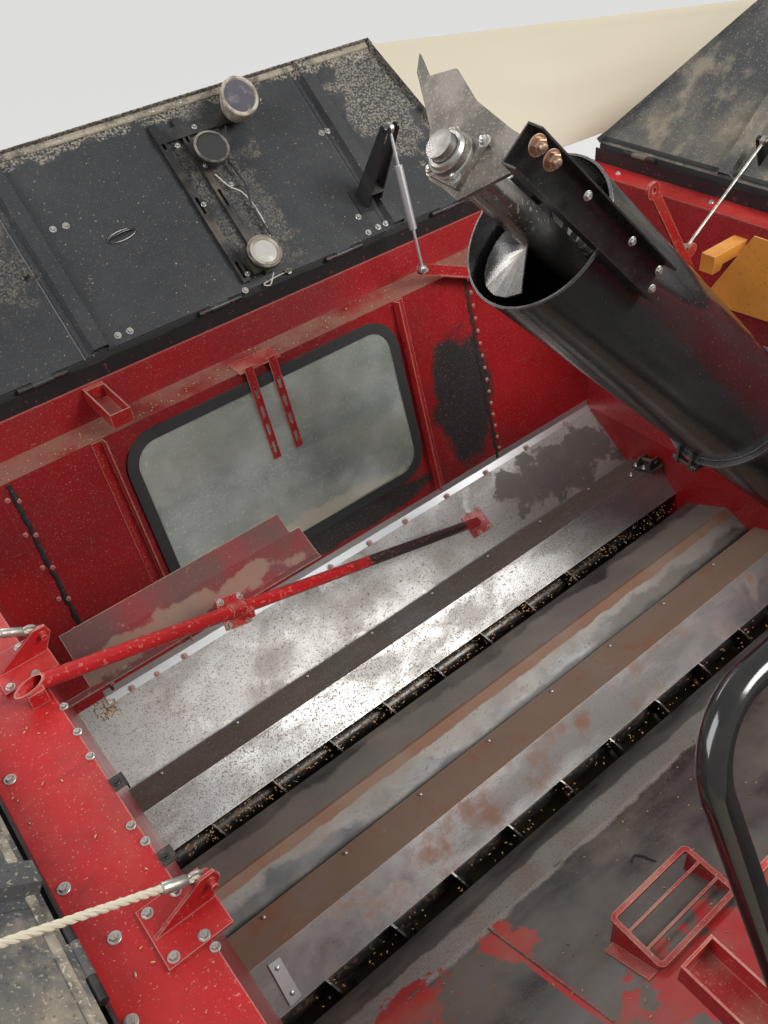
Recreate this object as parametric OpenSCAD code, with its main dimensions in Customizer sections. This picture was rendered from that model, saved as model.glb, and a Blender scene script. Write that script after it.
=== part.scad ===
// Combine harvester grain tank, with its folding covers open and its loading auger raised.
// X is the machine's right, Y its front, Z up. The origin is on the ground, midway between the cover tips.

/* [Tank] */
// Inner width between the side walls at the rim
tank_w = 2500; // [2460:10:2540]
// Inner length between the front and rear walls at the rim
tank_l = 2300; // [2280:10:2320]
// Height of the rim above the ground
rim_z = 1870; // [1850:5:1890]
// Thickness of the wall and floor sheets
sheet_t = 3; // [2.5:0.5:4]
// Width of the wide rail along the left wall
rail_left_w = 160; // [150:5:170]
// Width of the narrow rail along the right wall
rail_right_w = 100; // [90:5:110]
// Backward lean of the front wall below its ledge
wall_lean = 13; // [12:0.5:14]
// Depth of the dusty ledge across the front wall
ledge_d = 100; // [80:5:110]
// Corner radius of the window
window_r = 90; // [60:5:110]

/* [Floor and cross augers] */
// Diameter of the cross auger flights
flight_d = 210; // [190:5:220]
// Pitch of the cross auger flights
flight_pitch = 214; // [190:2:230]
// Diameter of the cross auger pipes
auger_pipe_d = 76; // [60:2:90]
// Height of the cross auger axes above the ground
auger_z = 720; // [710:5:730]
// Distance between the two cross augers
auger_gap = 563; // [550:1:580]
// Inner radius of the auger troughs
trough_r = 120; // [116:1:124]
// Slope of the front floor sheet
floor_slope = 36; // [34:0.5:38]

/* [Loading auger] */
// Outer diameter of the loading auger tube
tube_d = 360; // [350:2:364]
// Length of the folding part of the tube
tube_l = 1100; // [1080:10:1120]
// Angle of the raised tube from upright
tube_lean = 44; // [43:0.5:45]
// Turn of the tube's plane from straight across the tank
tube_yaw = -7.3; // [-8:0.1:-6.5]
// Diameter of the loading auger flights
screw_d = 320; // [300:5:330]

/* [Covers] */
// Angle of the open covers above the horizontal
cover_open = 41; // [40:0.5:42]
// Length of the front and rear covers from hinge to lip
end_cover_l = 650; // [630:5:660]
// Length of the side covers from hinge to lip
side_cover_l = 1350; // [1330:5:1355]
// Depth of the folded edges and ribs on the covers
rib_d = 25; // [20:1:30]
// Length by which the side covers narrow for each unit away from the hinge
cover_mitre = 0.4585; // [0.44:0.005:0.48]

/* [Hidden] */
$fn = 48;

// Gap left where one piece seats in another
seat = 0.3;
// Radial clearance of a pin that turns in its hole
running = 0.05;
// Thickness of the rail plates
rail_t = 4;

// Plan positions of the rim
cx = (rail_left_w - rail_right_w) / 2;
wl = cx - tank_w / 2;
wr = cx + tank_w / 2;
fy = tank_l / 2;
ry = -fy;
outer_x = wr + rail_right_w;
wall_top = rim_z - rail_t;

// Side walls lean in to these lines, then drop straight to their feet
knee_z = 1040;
xl = wl + 70;
xr = wr - 198;
wall_foot = 575;

// Front wall: a strip under the rim, the ledge, then the leaning wall with the window
ledge_z = rim_z - 100;
strip_run = 23;
ledge_y = fy - strip_run - ledge_d;
base_z = knee_z;
base_y = ledge_y - (ledge_z - base_z) * tan(wall_lean);
wall_len = (ledge_z - base_z) / cos(wall_lean);
function strip_y(z) = fy - strip_run * (wall_top - z) / (wall_top - ledge_z);
function right_x(z) = z < knee_z ? xr : xr + (wr - xr) * (z - knee_z) / (wall_top - knee_z);
function left_x(z) = z < knee_z ? xl : xl + (wl - xl) * (z - knee_z) / (wall_top - knee_z);

// Cross augers, troughs and the floor between them
front_y = fy - 695;
rear_y = front_y - auger_gap;
side_top = auger_z + 122;
front_top = base_z - (base_y - front_y - trough_r) * tan(floor_slope);
mid_y = (front_y + rear_y) / 2;
mid_z = side_top + 76;
bend_run = 153;
bend_y = rear_y - trough_r - bend_run;
bend_z = side_top + bend_run;
rear_slope = 30;
rear_z = bend_z + (bend_y - ry) * tan(rear_slope);

// Roofs over the augers: ridge place and the two falling faces
roof_dy = 37;
roof_dz = 226;
roof_far = [128, -46];
roof_near = [-100, -92];

// Cover hinges
hinge_r = 8;
pin_r = 4;
hinge_z = rim_z + 58;
hinge_off = 4;
hinge_y = fy + hinge_off;
hinge_x = outer_x - 2;
panel_t = 3;
panel_v0 = 11;

// Loading auger: the middle of the joint between boot and folding tube
tube_at = [wr - 457, 101, rim_z - 329];
tube_r = tube_d / 2;
tube_t = 4;
flange_r = tube_r + 18;
flange_t = 8;
fold_pin_x = -(flange_r + 14);
fold_pin_r = 8;
boot_l = 690;
bearing_at = tube_l + 270;

// Levers and their links
torque_at = [wr - 129, rim_z - 211];
lever_plane = 470;
torque_y = lever_plane + 24;
lever_tip_v = 72;
lever_pivot = [torque_at[0], lever_tip_v - 324.6, 45];
bracket_pin = [390, 192, 283.5];
lever_l = norm([lever_pivot[0] - bracket_pin[0], lever_pivot[1] - lever_tip_v]);
right_lever_l = 543;
right_lever_up = 125.4;
stay_up = 115.1;
stay_r = 195.5;
right_pin = [120, 90];
link_pin_r = 6;

// Plane geometry

function unit(v) = v / norm(v);
function left_normal(a, b) = let (d = unit(b - a)) [-d[1], d[0]];
// A line moved sideways to its left by t, with mitred corners
function moved(p, t) = [for (i = [0:len(p) - 1])
    i == 0 ? p[0] + t * left_normal(p[0], p[1]) :
    i == len(p) - 1 ? p[i] + t * left_normal(p[i - 1], p[i]) :
    let (a = left_normal(p[i - 1], p[i]), b = left_normal(p[i], p[i + 1]))
        p[i] + t * (a + b) / (1 + a * b)];
function turned(p) = [for (i = [len(p) - 1:-1:0]) p[i]];
// A folded sheet of thickness t along a line
function sheet(p, t) = concat(p, turned(moved(p, t)));

module along_x(x0, x1) {
    translate([x0, 0, 0]) rotate([90, 0, 90]) linear_extrude(x1 - x0) children();
}
module along_y(y0, y1) {
    translate([0, y1, 0]) rotate([90, 0, 0]) linear_extrude(y1 - y0) children();
}
module rod(a, b, r) {
    d = b - a;
    translate(a) rotate([0, acos(d[2] / norm(d)), atan2(d[1], d[0])]) cylinder(r = r, h = norm(d));
}
module rounded(x0, y0, x1, y1, r) {
    translate([x0 + r, y0]) square([x1 - x0 - 2 * r, y1 - y0]);
    translate([x0, y0 + r]) square([x1 - x0, y1 - y0 - 2 * r]);
    for (x = [x0 + r, x1 - r], y = [y0 + r, y1 - r]) translate([x, y]) circle(r);
}

// Outlines of the tank

front_line = [[fy, wall_top], [fy - strip_run, ledge_z], [ledge_y, ledge_z], [base_y, base_z]];
front_floor_line = [[base_y, base_z], [front_y + trough_r, front_top]];
mid_floor_line = [[front_y - trough_r, side_top], [mid_y, mid_z], [rear_y + trough_r, side_top]];
rear_floor_line = [[rear_y - trough_r, side_top], [bend_y, bend_z], [ry, rear_z]];
side_outline = moved([[ry, wall_top], [ry, rear_z], [bend_y, bend_z], [rear_y - trough_r, side_top],
    [rear_y - trough_r, wall_foot], [front_y + trough_r, wall_foot], [front_y + trough_r, front_top],
    [base_y, base_z], [ledge_y, ledge_z], [fy - strip_run, ledge_z], [fy, wall_top]], -sheet_t);
width_outline = [[wl, wall_top], [xl, knee_z], [xl, wall_foot], [xr, wall_foot], [xr, knee_z],
    [wr, wall_top]];

module between_walls() {
    intersection() {
        children();
        along_y(ry - 200, fy + 200) polygon(width_outline);
    }
}
module on_front_wall() { translate([0, ledge_y, ledge_z]) rotate([90 - wall_lean, 0, 0]) children(); }
module on_front_floor() { translate([0, base_y, base_z]) rotate([floor_slope, 0, 0]) children(); }
module on_rear_slope() { translate([0, bend_y, bend_z]) rotate([-rear_slope, 0, 0]) children(); }

// Walls and floor

window = [-710, -602, 240, -52];
seam_left = wl + 160;
seam_right = wr - 668;

module front_wall_centre() {
    color("firebrick") difference() {
        along_x(seam_left, seam_right) polygon(sheet(front_line, sheet_t));
        on_front_wall() translate([0, 0, -20]) linear_extrude(40)
            rounded(window[0], window[1], window[2], window[3], window_r);
    }
}
module front_wall_corners() {
    color("firebrick") lever_pivot_pin();
    color("firebrick") between_walls() {
        along_x(wl - 100, seam_left) polygon(sheet(front_line, sheet_t));
        along_x(seam_right, wr + 100) polygon(sheet(front_line, sheet_t));
    }
}
module side_wall(path, t) {
    intersection() {
        along_y(ry - 100, fy + 100) polygon(sheet(path, t));
        along_x(-outer_x, outer_x) polygon(side_outline);
    }
}
module auger_holes(r) {
    for (y = [front_y, rear_y]) translate([0, y, auger_z]) rotate([0, 90, 0])
        cylinder(r = r, h = 2 * outer_x, center = true);
}
shaft_r = 20;
module left_wall() {
    color("firebrick") difference() {
        side_wall([[wl, wall_top], [xl, knee_z], [xl, wall_foot]], -sheet_t);
        auger_holes(trough_r - 8);
    }
}
module right_wall() {
    color("firebrick") difference() {
        side_wall([[wr, wall_top], [xr, knee_z], [xr, wall_foot]], sheet_t);
        auger_holes(shaft_r + 5);
        at_tube() translate([0, 0, -boot_l]) cylinder(r = tube_r + seat, h = boot_l);
    }
}
module rear_wall() {
    color("firebrick") between_walls() along_x(wl - 50, wr + 50)
        polygon(sheet([[ry, rear_z], [ry, wall_top]], sheet_t));
}
module floor_sheets() {
    color("slategray") between_walls() {
        along_x(wl, wr) polygon(sheet(front_floor_line, sheet_t));
        along_x(wl, wr) polygon(sheet(mid_floor_line, sheet_t));
        along_x(wl, wr) polygon(sheet(rear_floor_line, sheet_t));
    }
}
module trough_shape(front_h, rear_h) {
    r = trough_r + sheet_t;
    difference() {
        union() {
            intersection() {
                circle(r);
                translate([-r, -r]) square([2 * r, r]);
            }
            square([r, front_h]);
            translate([-r, 0]) square([r, rear_h]);
        }
        circle(trough_r);
        translate([-trough_r, 0]) square([2 * trough_r, r + 1]);
    }
}
module auger_troughs() {
    low = sheet_t * cos(floor_slope);
    mid_low = sheet_t * cos(atan2(mid_z - side_top, mid_y - rear_y - trough_r));
    rear_low = sheet_t * cos(45);
    color("slategray") {
        translate([0, front_y, auger_z]) along_x(xl, xr)
            trough_shape(front_top - low - auger_z, side_top - mid_low - auger_z);
        translate([0, rear_y, auger_z]) along_x(xl, xr)
            trough_shape(side_top - mid_low - auger_z, side_top - rear_low - auger_z);
    }
}
module floor_joint_strip() {
    up = [sin(wall_lean), cos(wall_lean)];
    down = [-cos(floor_slope), -sin(floor_slope)];
    corner = [base_y, base_z];
    color("silver") between_walls() along_x(seam_left, xr)
        polygon(sheet(moved([corner + 24 * up, corner, corner + 26 * down], -0.05), -2));
}

// Rails, hinge strips and ribs

end_rail_d = 60;
module rim_rails() {
    color("red") {
        for (s = [[wl - rail_left_w, wl, 1], [outer_x, wr, -1]]) {
            translate([min(s[0], s[1]), ry, rim_z - rail_t]) cube([abs(s[1] - s[0]), tank_l, rail_t]);
            translate([s[2] > 0 ? s[0] : s[0] - rail_t, ry, rim_z - 70]) cube([rail_t, tank_l, 70]);
        }
        for (m = [0, 1]) mirror([0, m, 0]) {
            translate([-outer_x, fy, rim_z - rail_t]) cube([2 * outer_x, end_rail_d, rail_t]);
            translate([-outer_x, fy + end_rail_d - rail_t, rim_z - 70]) cube([2 * outer_x, rail_t, 70]);
        }
    }
}
// Hinge groups of a cover, as places along its hinge line
end_hinges = [-820, -260, 200, 640];
side_hinges = [-950, -350, 350, 950];
hinge_half = 60;
module hinge_fixed(places) {
    for (p = places) {
        for (s = [-1, 1]) {
            translate([p + s * (hinge_half / 2 + 21), 0, 0]) rotate([0, 90, 0])
                cylinder(r = hinge_r, h = 40, center = true);
            translate([p + s * (hinge_half / 2 + 21) - 20, -2, -hinge_r - 3]) cube([40, 4, 7]);
        }
        translate([p, 0, 0]) rotate([0, 90, 0]) cylinder(r = pin_r, h = 2 * hinge_half + 20, center = true);
    }
}
module hinge_moving(places) {
    for (p = places) difference() {
        union() {
            translate([p, 0, 0]) rotate([0, 90, 0]) cylinder(r = hinge_r, h = hinge_half, center = true);
            translate([p - hinge_half / 2, 0, -panel_t / 2]) cube([hinge_half, panel_v0 + 1, panel_t]);
        }
        translate([p, 0, 0]) rotate([0, 90, 0])
            cylinder(r = pin_r + running, h = hinge_half + 10, center = true);
    }
}
module at_front_hinge() { translate([0, hinge_y, hinge_z]) children(); }
module at_side_hinge(s) { translate([s * hinge_x, 0, hinge_z]) rotate([0, 0, -90 * s]) children(); }
cover_left = -1010;
cover_right = 825;
module hinge_strips() {
    h = hinge_z - hinge_r - rim_z - 2;
    color("dimgray") {
        for (m = [0, 1]) mirror([0, m, 0]) {
            at_front_hinge() hinge_fixed(end_hinges);
            translate([cover_left, hinge_y - 2, rim_z]) cube([cover_right - cover_left, 4, h]);
        }
        for (s = [1, -1]) {
            at_side_hinge(s) hinge_fixed(side_hinges);
            translate([s * hinge_x - 2, ry, rim_z]) cube([4, tank_l, h]);
        }
    }
}
rib_w = 60;
rib_h = 30;
module wall_rib(path, side) {
    outer = moved(path, side * (rib_h - sheet_t));
    along_y(-rib_w / 2, rib_w / 2) polygon(sheet(outer, side * sheet_t));
    for (y = [-rib_w / 2, rib_w / 2 - sheet_t]) along_y(y, y + sheet_t)
        polygon(sheet(path, side * rib_h));
}
function slope_z(y) = y < bend_y ?
    bend_z + (bend_y - y) * tan(rear_slope) :
    side_top + (bend_y + bend_run - y);
module wall_ribs() {
    color("firebrick") {
        for (y = [-800, -300]) {
            z = max(knee_z, slope_z(y - rib_w / 2) + 10);
            translate([0, y, 0]) wall_rib(moved([[wl, wall_top - 1], [left_x(z), z]], -sheet_t), -1);
            translate([0, y, 0]) wall_rib(moved([[wr, wall_top - 1], [right_x(z), z]], sheet_t), 1);
        }
        for (x = [-900, -300, 300, 900]) {
            h = wall_top - rear_z;
            translate([x - rib_w / 2, ry - sheet_t - rib_h, rear_z]) cube([rib_w, sheet_t, h]);
            for (d = [-rib_w / 2, rib_w / 2 - sheet_t])
                translate([x + d, ry - sheet_t - rib_h, rear_z]) cube([sheet_t, rib_h, h]);
        }
    }
}

// Window

lip = 14;
module window_seal() {
    x0 = window[0];
    y0 = window[1];
    x1 = window[2];
    y1 = window[3];
    color([0.08, 0.08, 0.08]) on_front_wall() difference() {
        union() {
            linear_extrude(9) rounded(x0 - 20, y0 - 20, x1 + 20, y1 + 20, window_r + 20);
            translate([0, 0, -sheet_t]) linear_extrude(5)
                rounded(x0 + seat, y0 + seat, x1 - seat, y1 - seat, window_r - seat);
        }
        translate([0, 0, -10]) linear_extrude(30)
            rounded(x0 + lip, y0 + lip, x1 - lip, y1 - lip, window_r - lip);
        translate([0, 0, 1.5 - seat]) linear_extrude(5 + 2 * seat)
            rounded(x0 + 3, y0 + 3, x1 - 3, y1 - 3, window_r - 3);
    }
}
module window_glass() {
    rim = 3 + seat;
    color([0.5, 0.6, 0.5, 0.4]) on_front_wall() translate([0, 0, 1.5]) linear_extrude(5)
        rounded(window[0] + rim, window[1] + rim, window[2] - rim, window[3] - rim, window_r - 3);
}

// Fittings on the front wall

stiffener_left = -757;
stiffener_right = 283;
arm_x = -700;
strap_x = [-280, -197];
module front_wall_fittings() {
    color("red") {
        for (s = [[stiffener_left, -1], [stiffener_right, 1]]) {
            on_front_wall() translate([s[0] - 2, -wall_len + 32, 0]) cube([4, wall_len - 34, 32]);
            on_front_wall() translate([s[0] - (s[1] > 0 ? 0 : 34), -wall_len + 32, 0])
                cube([34, wall_len - 34, 3]);
        }
        difference() {
            along_x(arm_x - 30, arm_x + 30) polygon([[ledge_y - 60, rim_z - 52],
                [strip_y(rim_z - 52), rim_z - 52], [strip_y(rim_z - 8), rim_z - 8],
                [ledge_y - 60, rim_z - 8]]);
            translate([arm_x - 26, ledge_y - 56, rim_z - 48]) cube([52, ledge_d + 60, 60]);
        }
        for (x = strap_x) on_front_wall() difference() {
            translate([x - 14, -300, 11]) cube([28, 312, 4]);
            for (k = [0:3]) translate([x, -260 + 62 * k, 12]) rounded_slot(8, 36, 40);
        }
        translate([strap_x[0] - 30, ledge_y - 12, ledge_z]) cube([strap_x[1] - strap_x[0] + 60, 70, 4]);
    }
}
module rounded_slot(w, l, h) {
    translate([-w / 2, -l / 2 + w / 2, -h / 2]) cube([w, l - w, h]);
    for (s = [-1, 1]) translate([0, s * (l - w) / 2, 0]) cylinder(d = w, h = h, center = true);
}

guard_x = [wl + 90, wl + 740];
guard_line = [[412, rim_z - 307], [430, rim_z - 305], [505, rim_z - 265], [555, rim_z - 230]];
module folded_guard() {
    color("brown") {
        difference() {
            along_x(guard_x[0], guard_x[1]) polygon(sheet(guard_line, 3));
            translate([guard_x[1] - 30, 505, rim_z - 300]) cube([60, 60, 120]);
        }
        along_x(wl + 26, guard_x[0]) polygon(sheet([guard_line[0], guard_line[1]], 3));
    }
}
brace_a = [wl - 63, 182, rim_z + 59];
brace_b = [352, base_y - 131, base_z - 90];
brace_r = 16.5;
module brace_tube() {
    dir = unit(brace_b - brace_a);
    color("red") {
        difference() {
            union() {
                rod(brace_a, brace_b, brace_r);
                translate([wl - 42, 170, rim_z]) cube([34, 40, 34]);
                on_front_floor()
                    translate([brace_b[0] - 45, -(base_y - brace_b[1]) / cos(floor_slope) - 45, 0])
                        cube([90, 90, 5]);
            }
            rod(brace_a - 5 * dir, brace_a + 300 * dir, brace_r - 3);
            translate([brace_a[0] - 50, brace_a[1] - 50, rim_z + 38]) cube([200, 200, 100]);
            on_front_floor() translate([0, -300, -60]) cube([2 * brace_b[0], 300, 60]);
        }
        clamp = brace_a + 0.325 * (brace_b - brace_a);
        translate([clamp[0] - 25, clamp[1] - 20, clamp[2] - 30]) cube([50, 50, 26]);
    }
}

// Auger roofs

module auger_roof(y) {
    ridge = [y + roof_dy, auger_z + roof_dz];
    along_x(xl, xr) polygon(sheet([ridge + roof_far, ridge, ridge + roof_near], 3));
}
module front_auger_roof() { color("silver") auger_roof(front_y); }
module rear_auger_roof() {
    ridge = [rear_y + roof_dy, auger_z + roof_dz];
    color("gray") {
        auger_roof(rear_y);
        along_x(xl + 60, xl + 64) polygon([ridge + roof_far, ridge, ridge + roof_near, ridge + [0, -110]]);
    }
}

// Access parts

module ring_step(w, d) {
    bar = 12;
    difference() {
        translate([0, 0, -bar]) linear_extrude(bar) rounded(0, -d, w, 0, 16);
        translate([0, 0, -bar - 1]) linear_extrude(bar + 2) rounded(bar, -d + bar, w - bar, -bar, 6);
    }
    for (k = [1, 2]) translate([bar - 1, -d * k / 3 - 3, -bar + 2]) cube([w - 2 * bar + 2, 6, 8]);
}
step_w = 256;
step_d = 143;
step_x = -508;
step_y = bend_y - 231;
step_z = rim_z - 640;
module slope_step() {
    color("crimson") {
        translate([step_x, step_y, step_z]) ring_step(step_w, step_d);
        for (x = [0, step_w - 4]) translate([step_x + x, 0, 0]) along_x(0, 4)
            polygon([[step_y - 14, step_z - 6], [step_y - 14, slope_z(step_y - 14)],
                [step_y - step_d + 14, slope_z(step_y - step_d + 14)], [step_y - step_d + 14, step_z - 6]]);
        for (x = [-28, step_w - 4]) on_rear_slope()
            translate([step_x + x, -(bend_y - step_y + step_d) / cos(rear_slope) + 8, 0]) cube([32, 130, 4]);
    }
}
wall_step_z = rim_z - 156;
wall_step_y = ry + 317;
channel_x = -632;
channel_l = 300;
module wall_step() {
    color("crimson") {
        translate([step_x, wall_step_y, wall_step_z]) ring_step(step_w, step_d);
        for (x = [20, step_w - 50]) translate([step_x + x, ry, wall_step_z - 40])
            cube([30, wall_step_y - step_d - ry + 20, 28.5]);
        difference() {
            translate([channel_x - 38, ry, wall_step_z - 60]) cube([76, channel_l, 48]);
            translate([channel_x - 34, ry - 1, wall_step_z - 56]) cube([68, channel_l - 4, 60]);
        }
        translate([channel_x + 30, ry, wall_step_z - 44]) cube([step_x + 26 - channel_x - 30, 60, 12]);
    }
}
// Grab rail: two legs with a bend above their pivots, joined by a bar, folding forwards under the rear cover
grab_tube_r = 17;
grab_x = [-810, -340];
grab_pin = [ry + 24, rim_z + 10];
grab_knee = [ry + 31, rim_z + 122];
grab_top = [ry + 300, rim_z + 600];
grab_pin_r = 6;
module grab_rail() {
    r = 85;
    up = unit(grab_top - grab_knee);
    tilt = atan2(up[0], up[1]);
    l = norm(grab_top - grab_knee);
    w = grab_x[1] - grab_x[0];
    color([0.1, 0.1, 0.1]) {
        for (x = grab_x) {
            rod([x, grab_pin[0], grab_pin[1]], [x, grab_knee[0], grab_knee[1]], grab_tube_r);
            translate([x, grab_knee[0], grab_knee[1]]) sphere(r = grab_tube_r + 1);
            translate([x, grab_pin[0], grab_pin[1]]) rotate([0, 90, 0])
                cylinder(r = grab_pin_r, h = 50, center = true);
        }
        translate([0, grab_knee[0], grab_knee[1]]) rotate([-tilt, 0, 0]) {
            for (x = grab_x) translate([x, 0, 0]) cylinder(r = grab_tube_r, h = l - r);
            translate([grab_x[0] + r, 0, l]) rotate([0, 90, 0]) cylinder(r = grab_tube_r, h = w - 2 * r);
            for (k = [0, 1]) translate([grab_x[k] + (k > 0 ? -r : r), 0, l - r])
                rotate([90, 0, 0]) rotate([0, 0, k > 0 ? 0 : 90])
                    rotate_extrude(angle = 90) translate([r, 0]) circle(grab_tube_r);
        }
    }
}
module grab_brackets() {
    color("crimson") for (x = grab_x, s = [-1, 1]) along_x(x + s * 21 - 2.5, x + s * 21 + 2.5) difference() {
        union() {
            translate([ry, rim_z - 80]) square([40, 90]);
            translate([ry, rim_z + 4]) square([grab_pin[0] - ry, 22]);
            translate(grab_pin) circle(16);
        }
        translate(grab_pin) circle(grab_pin_r + running);
    }
}
bracket_y = [290, -362];
module rope_brackets() {
    color("red") for (y = bracket_y) difference() {
        union() {
            translate([wl - 70, y - 55, rim_z]) cube([108, 110, 6]);
            translate([0, y, 0]) along_y(-3, 3) polygon([[wl - 66, rim_z + 5], [wl + 34, rim_z + 5],
                [wl + 56, rim_z + 46], [wl + 50, rim_z + 66], [wl + 26, rim_z + 66]]);
        }
        translate([wl + 40, y, rim_z + 50]) rotate([90, 0, 0]) cylinder(r = 6, h = 40, center = true);
    }
    color("silver") for (y = bracket_y) translate([wl + 40, y, rim_z + 50]) rotate([90, 0, 0])
        cylinder(r = 6 - running, h = 34, center = true);
}

// Underframe

rail_x = 800;
beam = 100;
beam_top = 560;
leg_y = [ry + 200, base_y - 78];
foot_w = 200;
foot_t = 12;
foot_hole_r = 9;
foot_pitch = 140;
// Lightening holes of the cradle plates: Y, Z and radius
cradle_holes = [[ry + 300, 860, 150], [base_y - 118, 700, 70]];
module floor_below() {
    polygon(moved([[ry - 5, rim_z], [ry - 5, rear_z + 2], [bend_y, bend_z], [rear_y - trough_r, side_top],
        [rear_y - trough_r, auger_z], [rear_y, auger_z], [rear_y + trough_r, auger_z],
        [rear_y + trough_r, side_top], [mid_y, mid_z], [front_y - trough_r, side_top],
        [front_y - trough_r, auger_z], [front_y + trough_r, auger_z], [front_y + trough_r, front_top],
        [base_y, base_z], [base_y + 80, base_z + 346]], -sheet_t));
    for (y = [front_y, rear_y]) translate([y, auger_z]) circle(trough_r + sheet_t);
}
module cradle_plates() {
    color("firebrick") for (x = [-rail_x, rail_x]) along_x(x - 4, x + 4) difference() {
        polygon([[ry + 60, beam_top], [base_y - 20, beam_top],
            [base_y + 10, base_z - 20], [ry + 60, rear_z - 90]]);
        floor_below();
        for (h = cradle_holes) translate([h[0], h[1]]) circle(h[2]);
    }
}
module box_beam(l) {
    difference() {
        translate([-beam / 2, 0, 0]) cube([beam, l, beam]);
        translate([-beam / 2 + 5, -1, 5]) cube([beam - 10, l + 2, beam - 10]);
    }
}
module underframe() {
    l = base_y - ry - 60;
    color("firebrick") {
        for (x = [-rail_x, rail_x]) {
            translate([x, ry + 40, beam_top - beam]) box_beam(l);
            for (y = leg_y) translate([x, y, foot_t]) linear_extrude(beam_top - beam - foot_t) difference() {
                square(80, center = true);
                square(70, center = true);
            }
        }
        for (y = leg_y) along_x(-rail_x + beam / 2, rail_x - beam / 2)
            translate([y, beam_top - beam / 2]) difference() {
                square(60, center = true);
                square(50, center = true);
            }
    }
}
module beam_caps() {
    l = base_y - ry - 60;
    wall = 5 + seat;
    color([0.1, 0.1, 0.1]) for (x = [-rail_x, rail_x], e = [0, 1])
        translate([x - beam / 2, e > 0 ? ry + 40 + l : ry + 40, beam_top - beam]) mirror([0, e, 0]) {
            translate([0, -4, 0]) cube([beam, 4, beam]);
            translate([wall, -1, wall]) cube([beam - 2 * wall, 21, beam - 2 * wall]);
        }
}
module feet() {
    color("firebrick") for (x = [-rail_x, rail_x], y = leg_y) difference() {
        translate([x - foot_w / 2, y - foot_w / 2, 0]) cube([foot_w, foot_w, foot_t]);
        for (a = [-1, 1], b = [-1, 1]) translate([x + a * foot_pitch / 2, y + b * foot_pitch / 2, -1])
            cylinder(r = foot_hole_r, h = foot_t + 2);
    }
}

// Outlet and auger shafts

outlet_r = 140;
outlet_l = 60;
outlet_flange_r = 190;
outlet_pcd = 350;
// Depth and height of the sump that both cross augers feed
sump_d = 180;
sump_h = 305;
sump_x = xl - sheet_t - sump_d;
module outlet_sump() {
    y0 = rear_y - trough_r;
    w = front_y + trough_r - y0;
    at_outlet = [sump_x, mid_y, wall_foot + sump_h / 2];
    color("firebrick") difference() {
        union() {
            translate([sump_x, y0, wall_foot]) cube([sump_d, w, sump_h]);
            translate(at_outlet) rotate([0, -90, 0]) {
                translate([0, 0, -1]) cylinder(r = outlet_r + 4, h = outlet_l + 1);
                translate([0, 0, outlet_l - 8]) cylinder(r = outlet_flange_r, h = 8);
            }
        }
        translate([sump_x + 4, y0 + 4, wall_foot + 4]) cube([sump_d, w - 8, sump_h - 8]);
        auger_holes(shaft_r + 5);
        translate(at_outlet) rotate([0, -90, 0]) {
            translate([0, 0, -10]) cylinder(r = outlet_r, h = outlet_l + 20);
            for (k = [0:7]) rotate([0, 0, 22.5 + 45 * k]) translate([outlet_pcd / 2, 0, outlet_l - 10])
                cylinder(r = 5.5, h = 20);
        }
    }
}
module auger_bearings() {
    color("dimgray") for (y = [front_y, rear_y], s = [[sump_x, -1], [xr + sheet_t, 1]])
        translate([s[0], y, auger_z]) rotate([0, 90 * s[1], 0]) difference() {
            union() {
                linear_extrude(8) square([110, 110], center = true);
                cylinder(r = 42, h = 34);
            }
            translate([0, 0, -1]) cylinder(r = shaft_r + running, h = 40);
        }
}

// A screw flight: a ribbon of thickness t from inner to outer radius, rising along Z
module flight(r_in, r_out, pitch, l, t) {
    n = 20;
    count = floor(l / pitch * n);
    function at(k, r, z) = let (a = 360 * k / n) [r * cos(a), r * sin(a), pitch * k / n + z];
    points = [for (k = [0:count]) each [at(k, r_in, 0), at(k, r_out, 0), at(k, r_out, t), at(k, r_in, t)]];
    faces = concat([[0, 1, 2, 3]], [[4 * count + 3, 4 * count + 2, 4 * count + 1, 4 * count]],
        [for (k = [0:count - 1], e = [0:3]) [4 * k + e, 4 * k + 4 + e, 4 * k + 4 + (e + 1) % 4]],
        [for (k = [0:count - 1], e = [0:3]) [4 * k + e, 4 * k + 4 + (e + 1) % 4, 4 * k + (e + 1) % 4]]);
    polyhedron(points, faces);
}
auger_end = 12;
shaft_out = sheet_t + sump_d + 57;
drive_out = 112;
drive_l = 73;
drive_r = 17.5;
flight_gap = 30;
function ribbon_r(r) = (r + seat) / cos(9);
module at_cross_auger(y) { translate([xl, y, auger_z]) rotate([0, 90, 0]) children(); }
module cross_pipe(y) {
    color("dimgray") at_cross_auger(y) {
        translate([0, 0, auger_end]) cylinder(r = auger_pipe_d / 2, h = xr - xl - 2 * auger_end);
        translate([0, 0, -shaft_out]) cylinder(r = shaft_r, h = xr - xl + shaft_out + drive_out - drive_l);
        translate([0, 0, xr - xl + drive_out - drive_l - 1]) cylinder(r = drive_r, h = drive_l + 1);
    }
}
module cross_flight(y) {
    color("gray") at_cross_auger(y) translate([0, 0, flight_gap])
        flight(ribbon_r(auger_pipe_d / 2), flight_d / 2, flight_pitch, xr - xl - 2 * flight_gap - 5, 5);
}
module front_auger_pipe() { cross_pipe(front_y); }
module front_auger_flight() { cross_flight(front_y); }
module rear_auger_pipe() { cross_pipe(rear_y); }
module rear_auger_flight() { cross_flight(rear_y); }

// Loading auger

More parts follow.
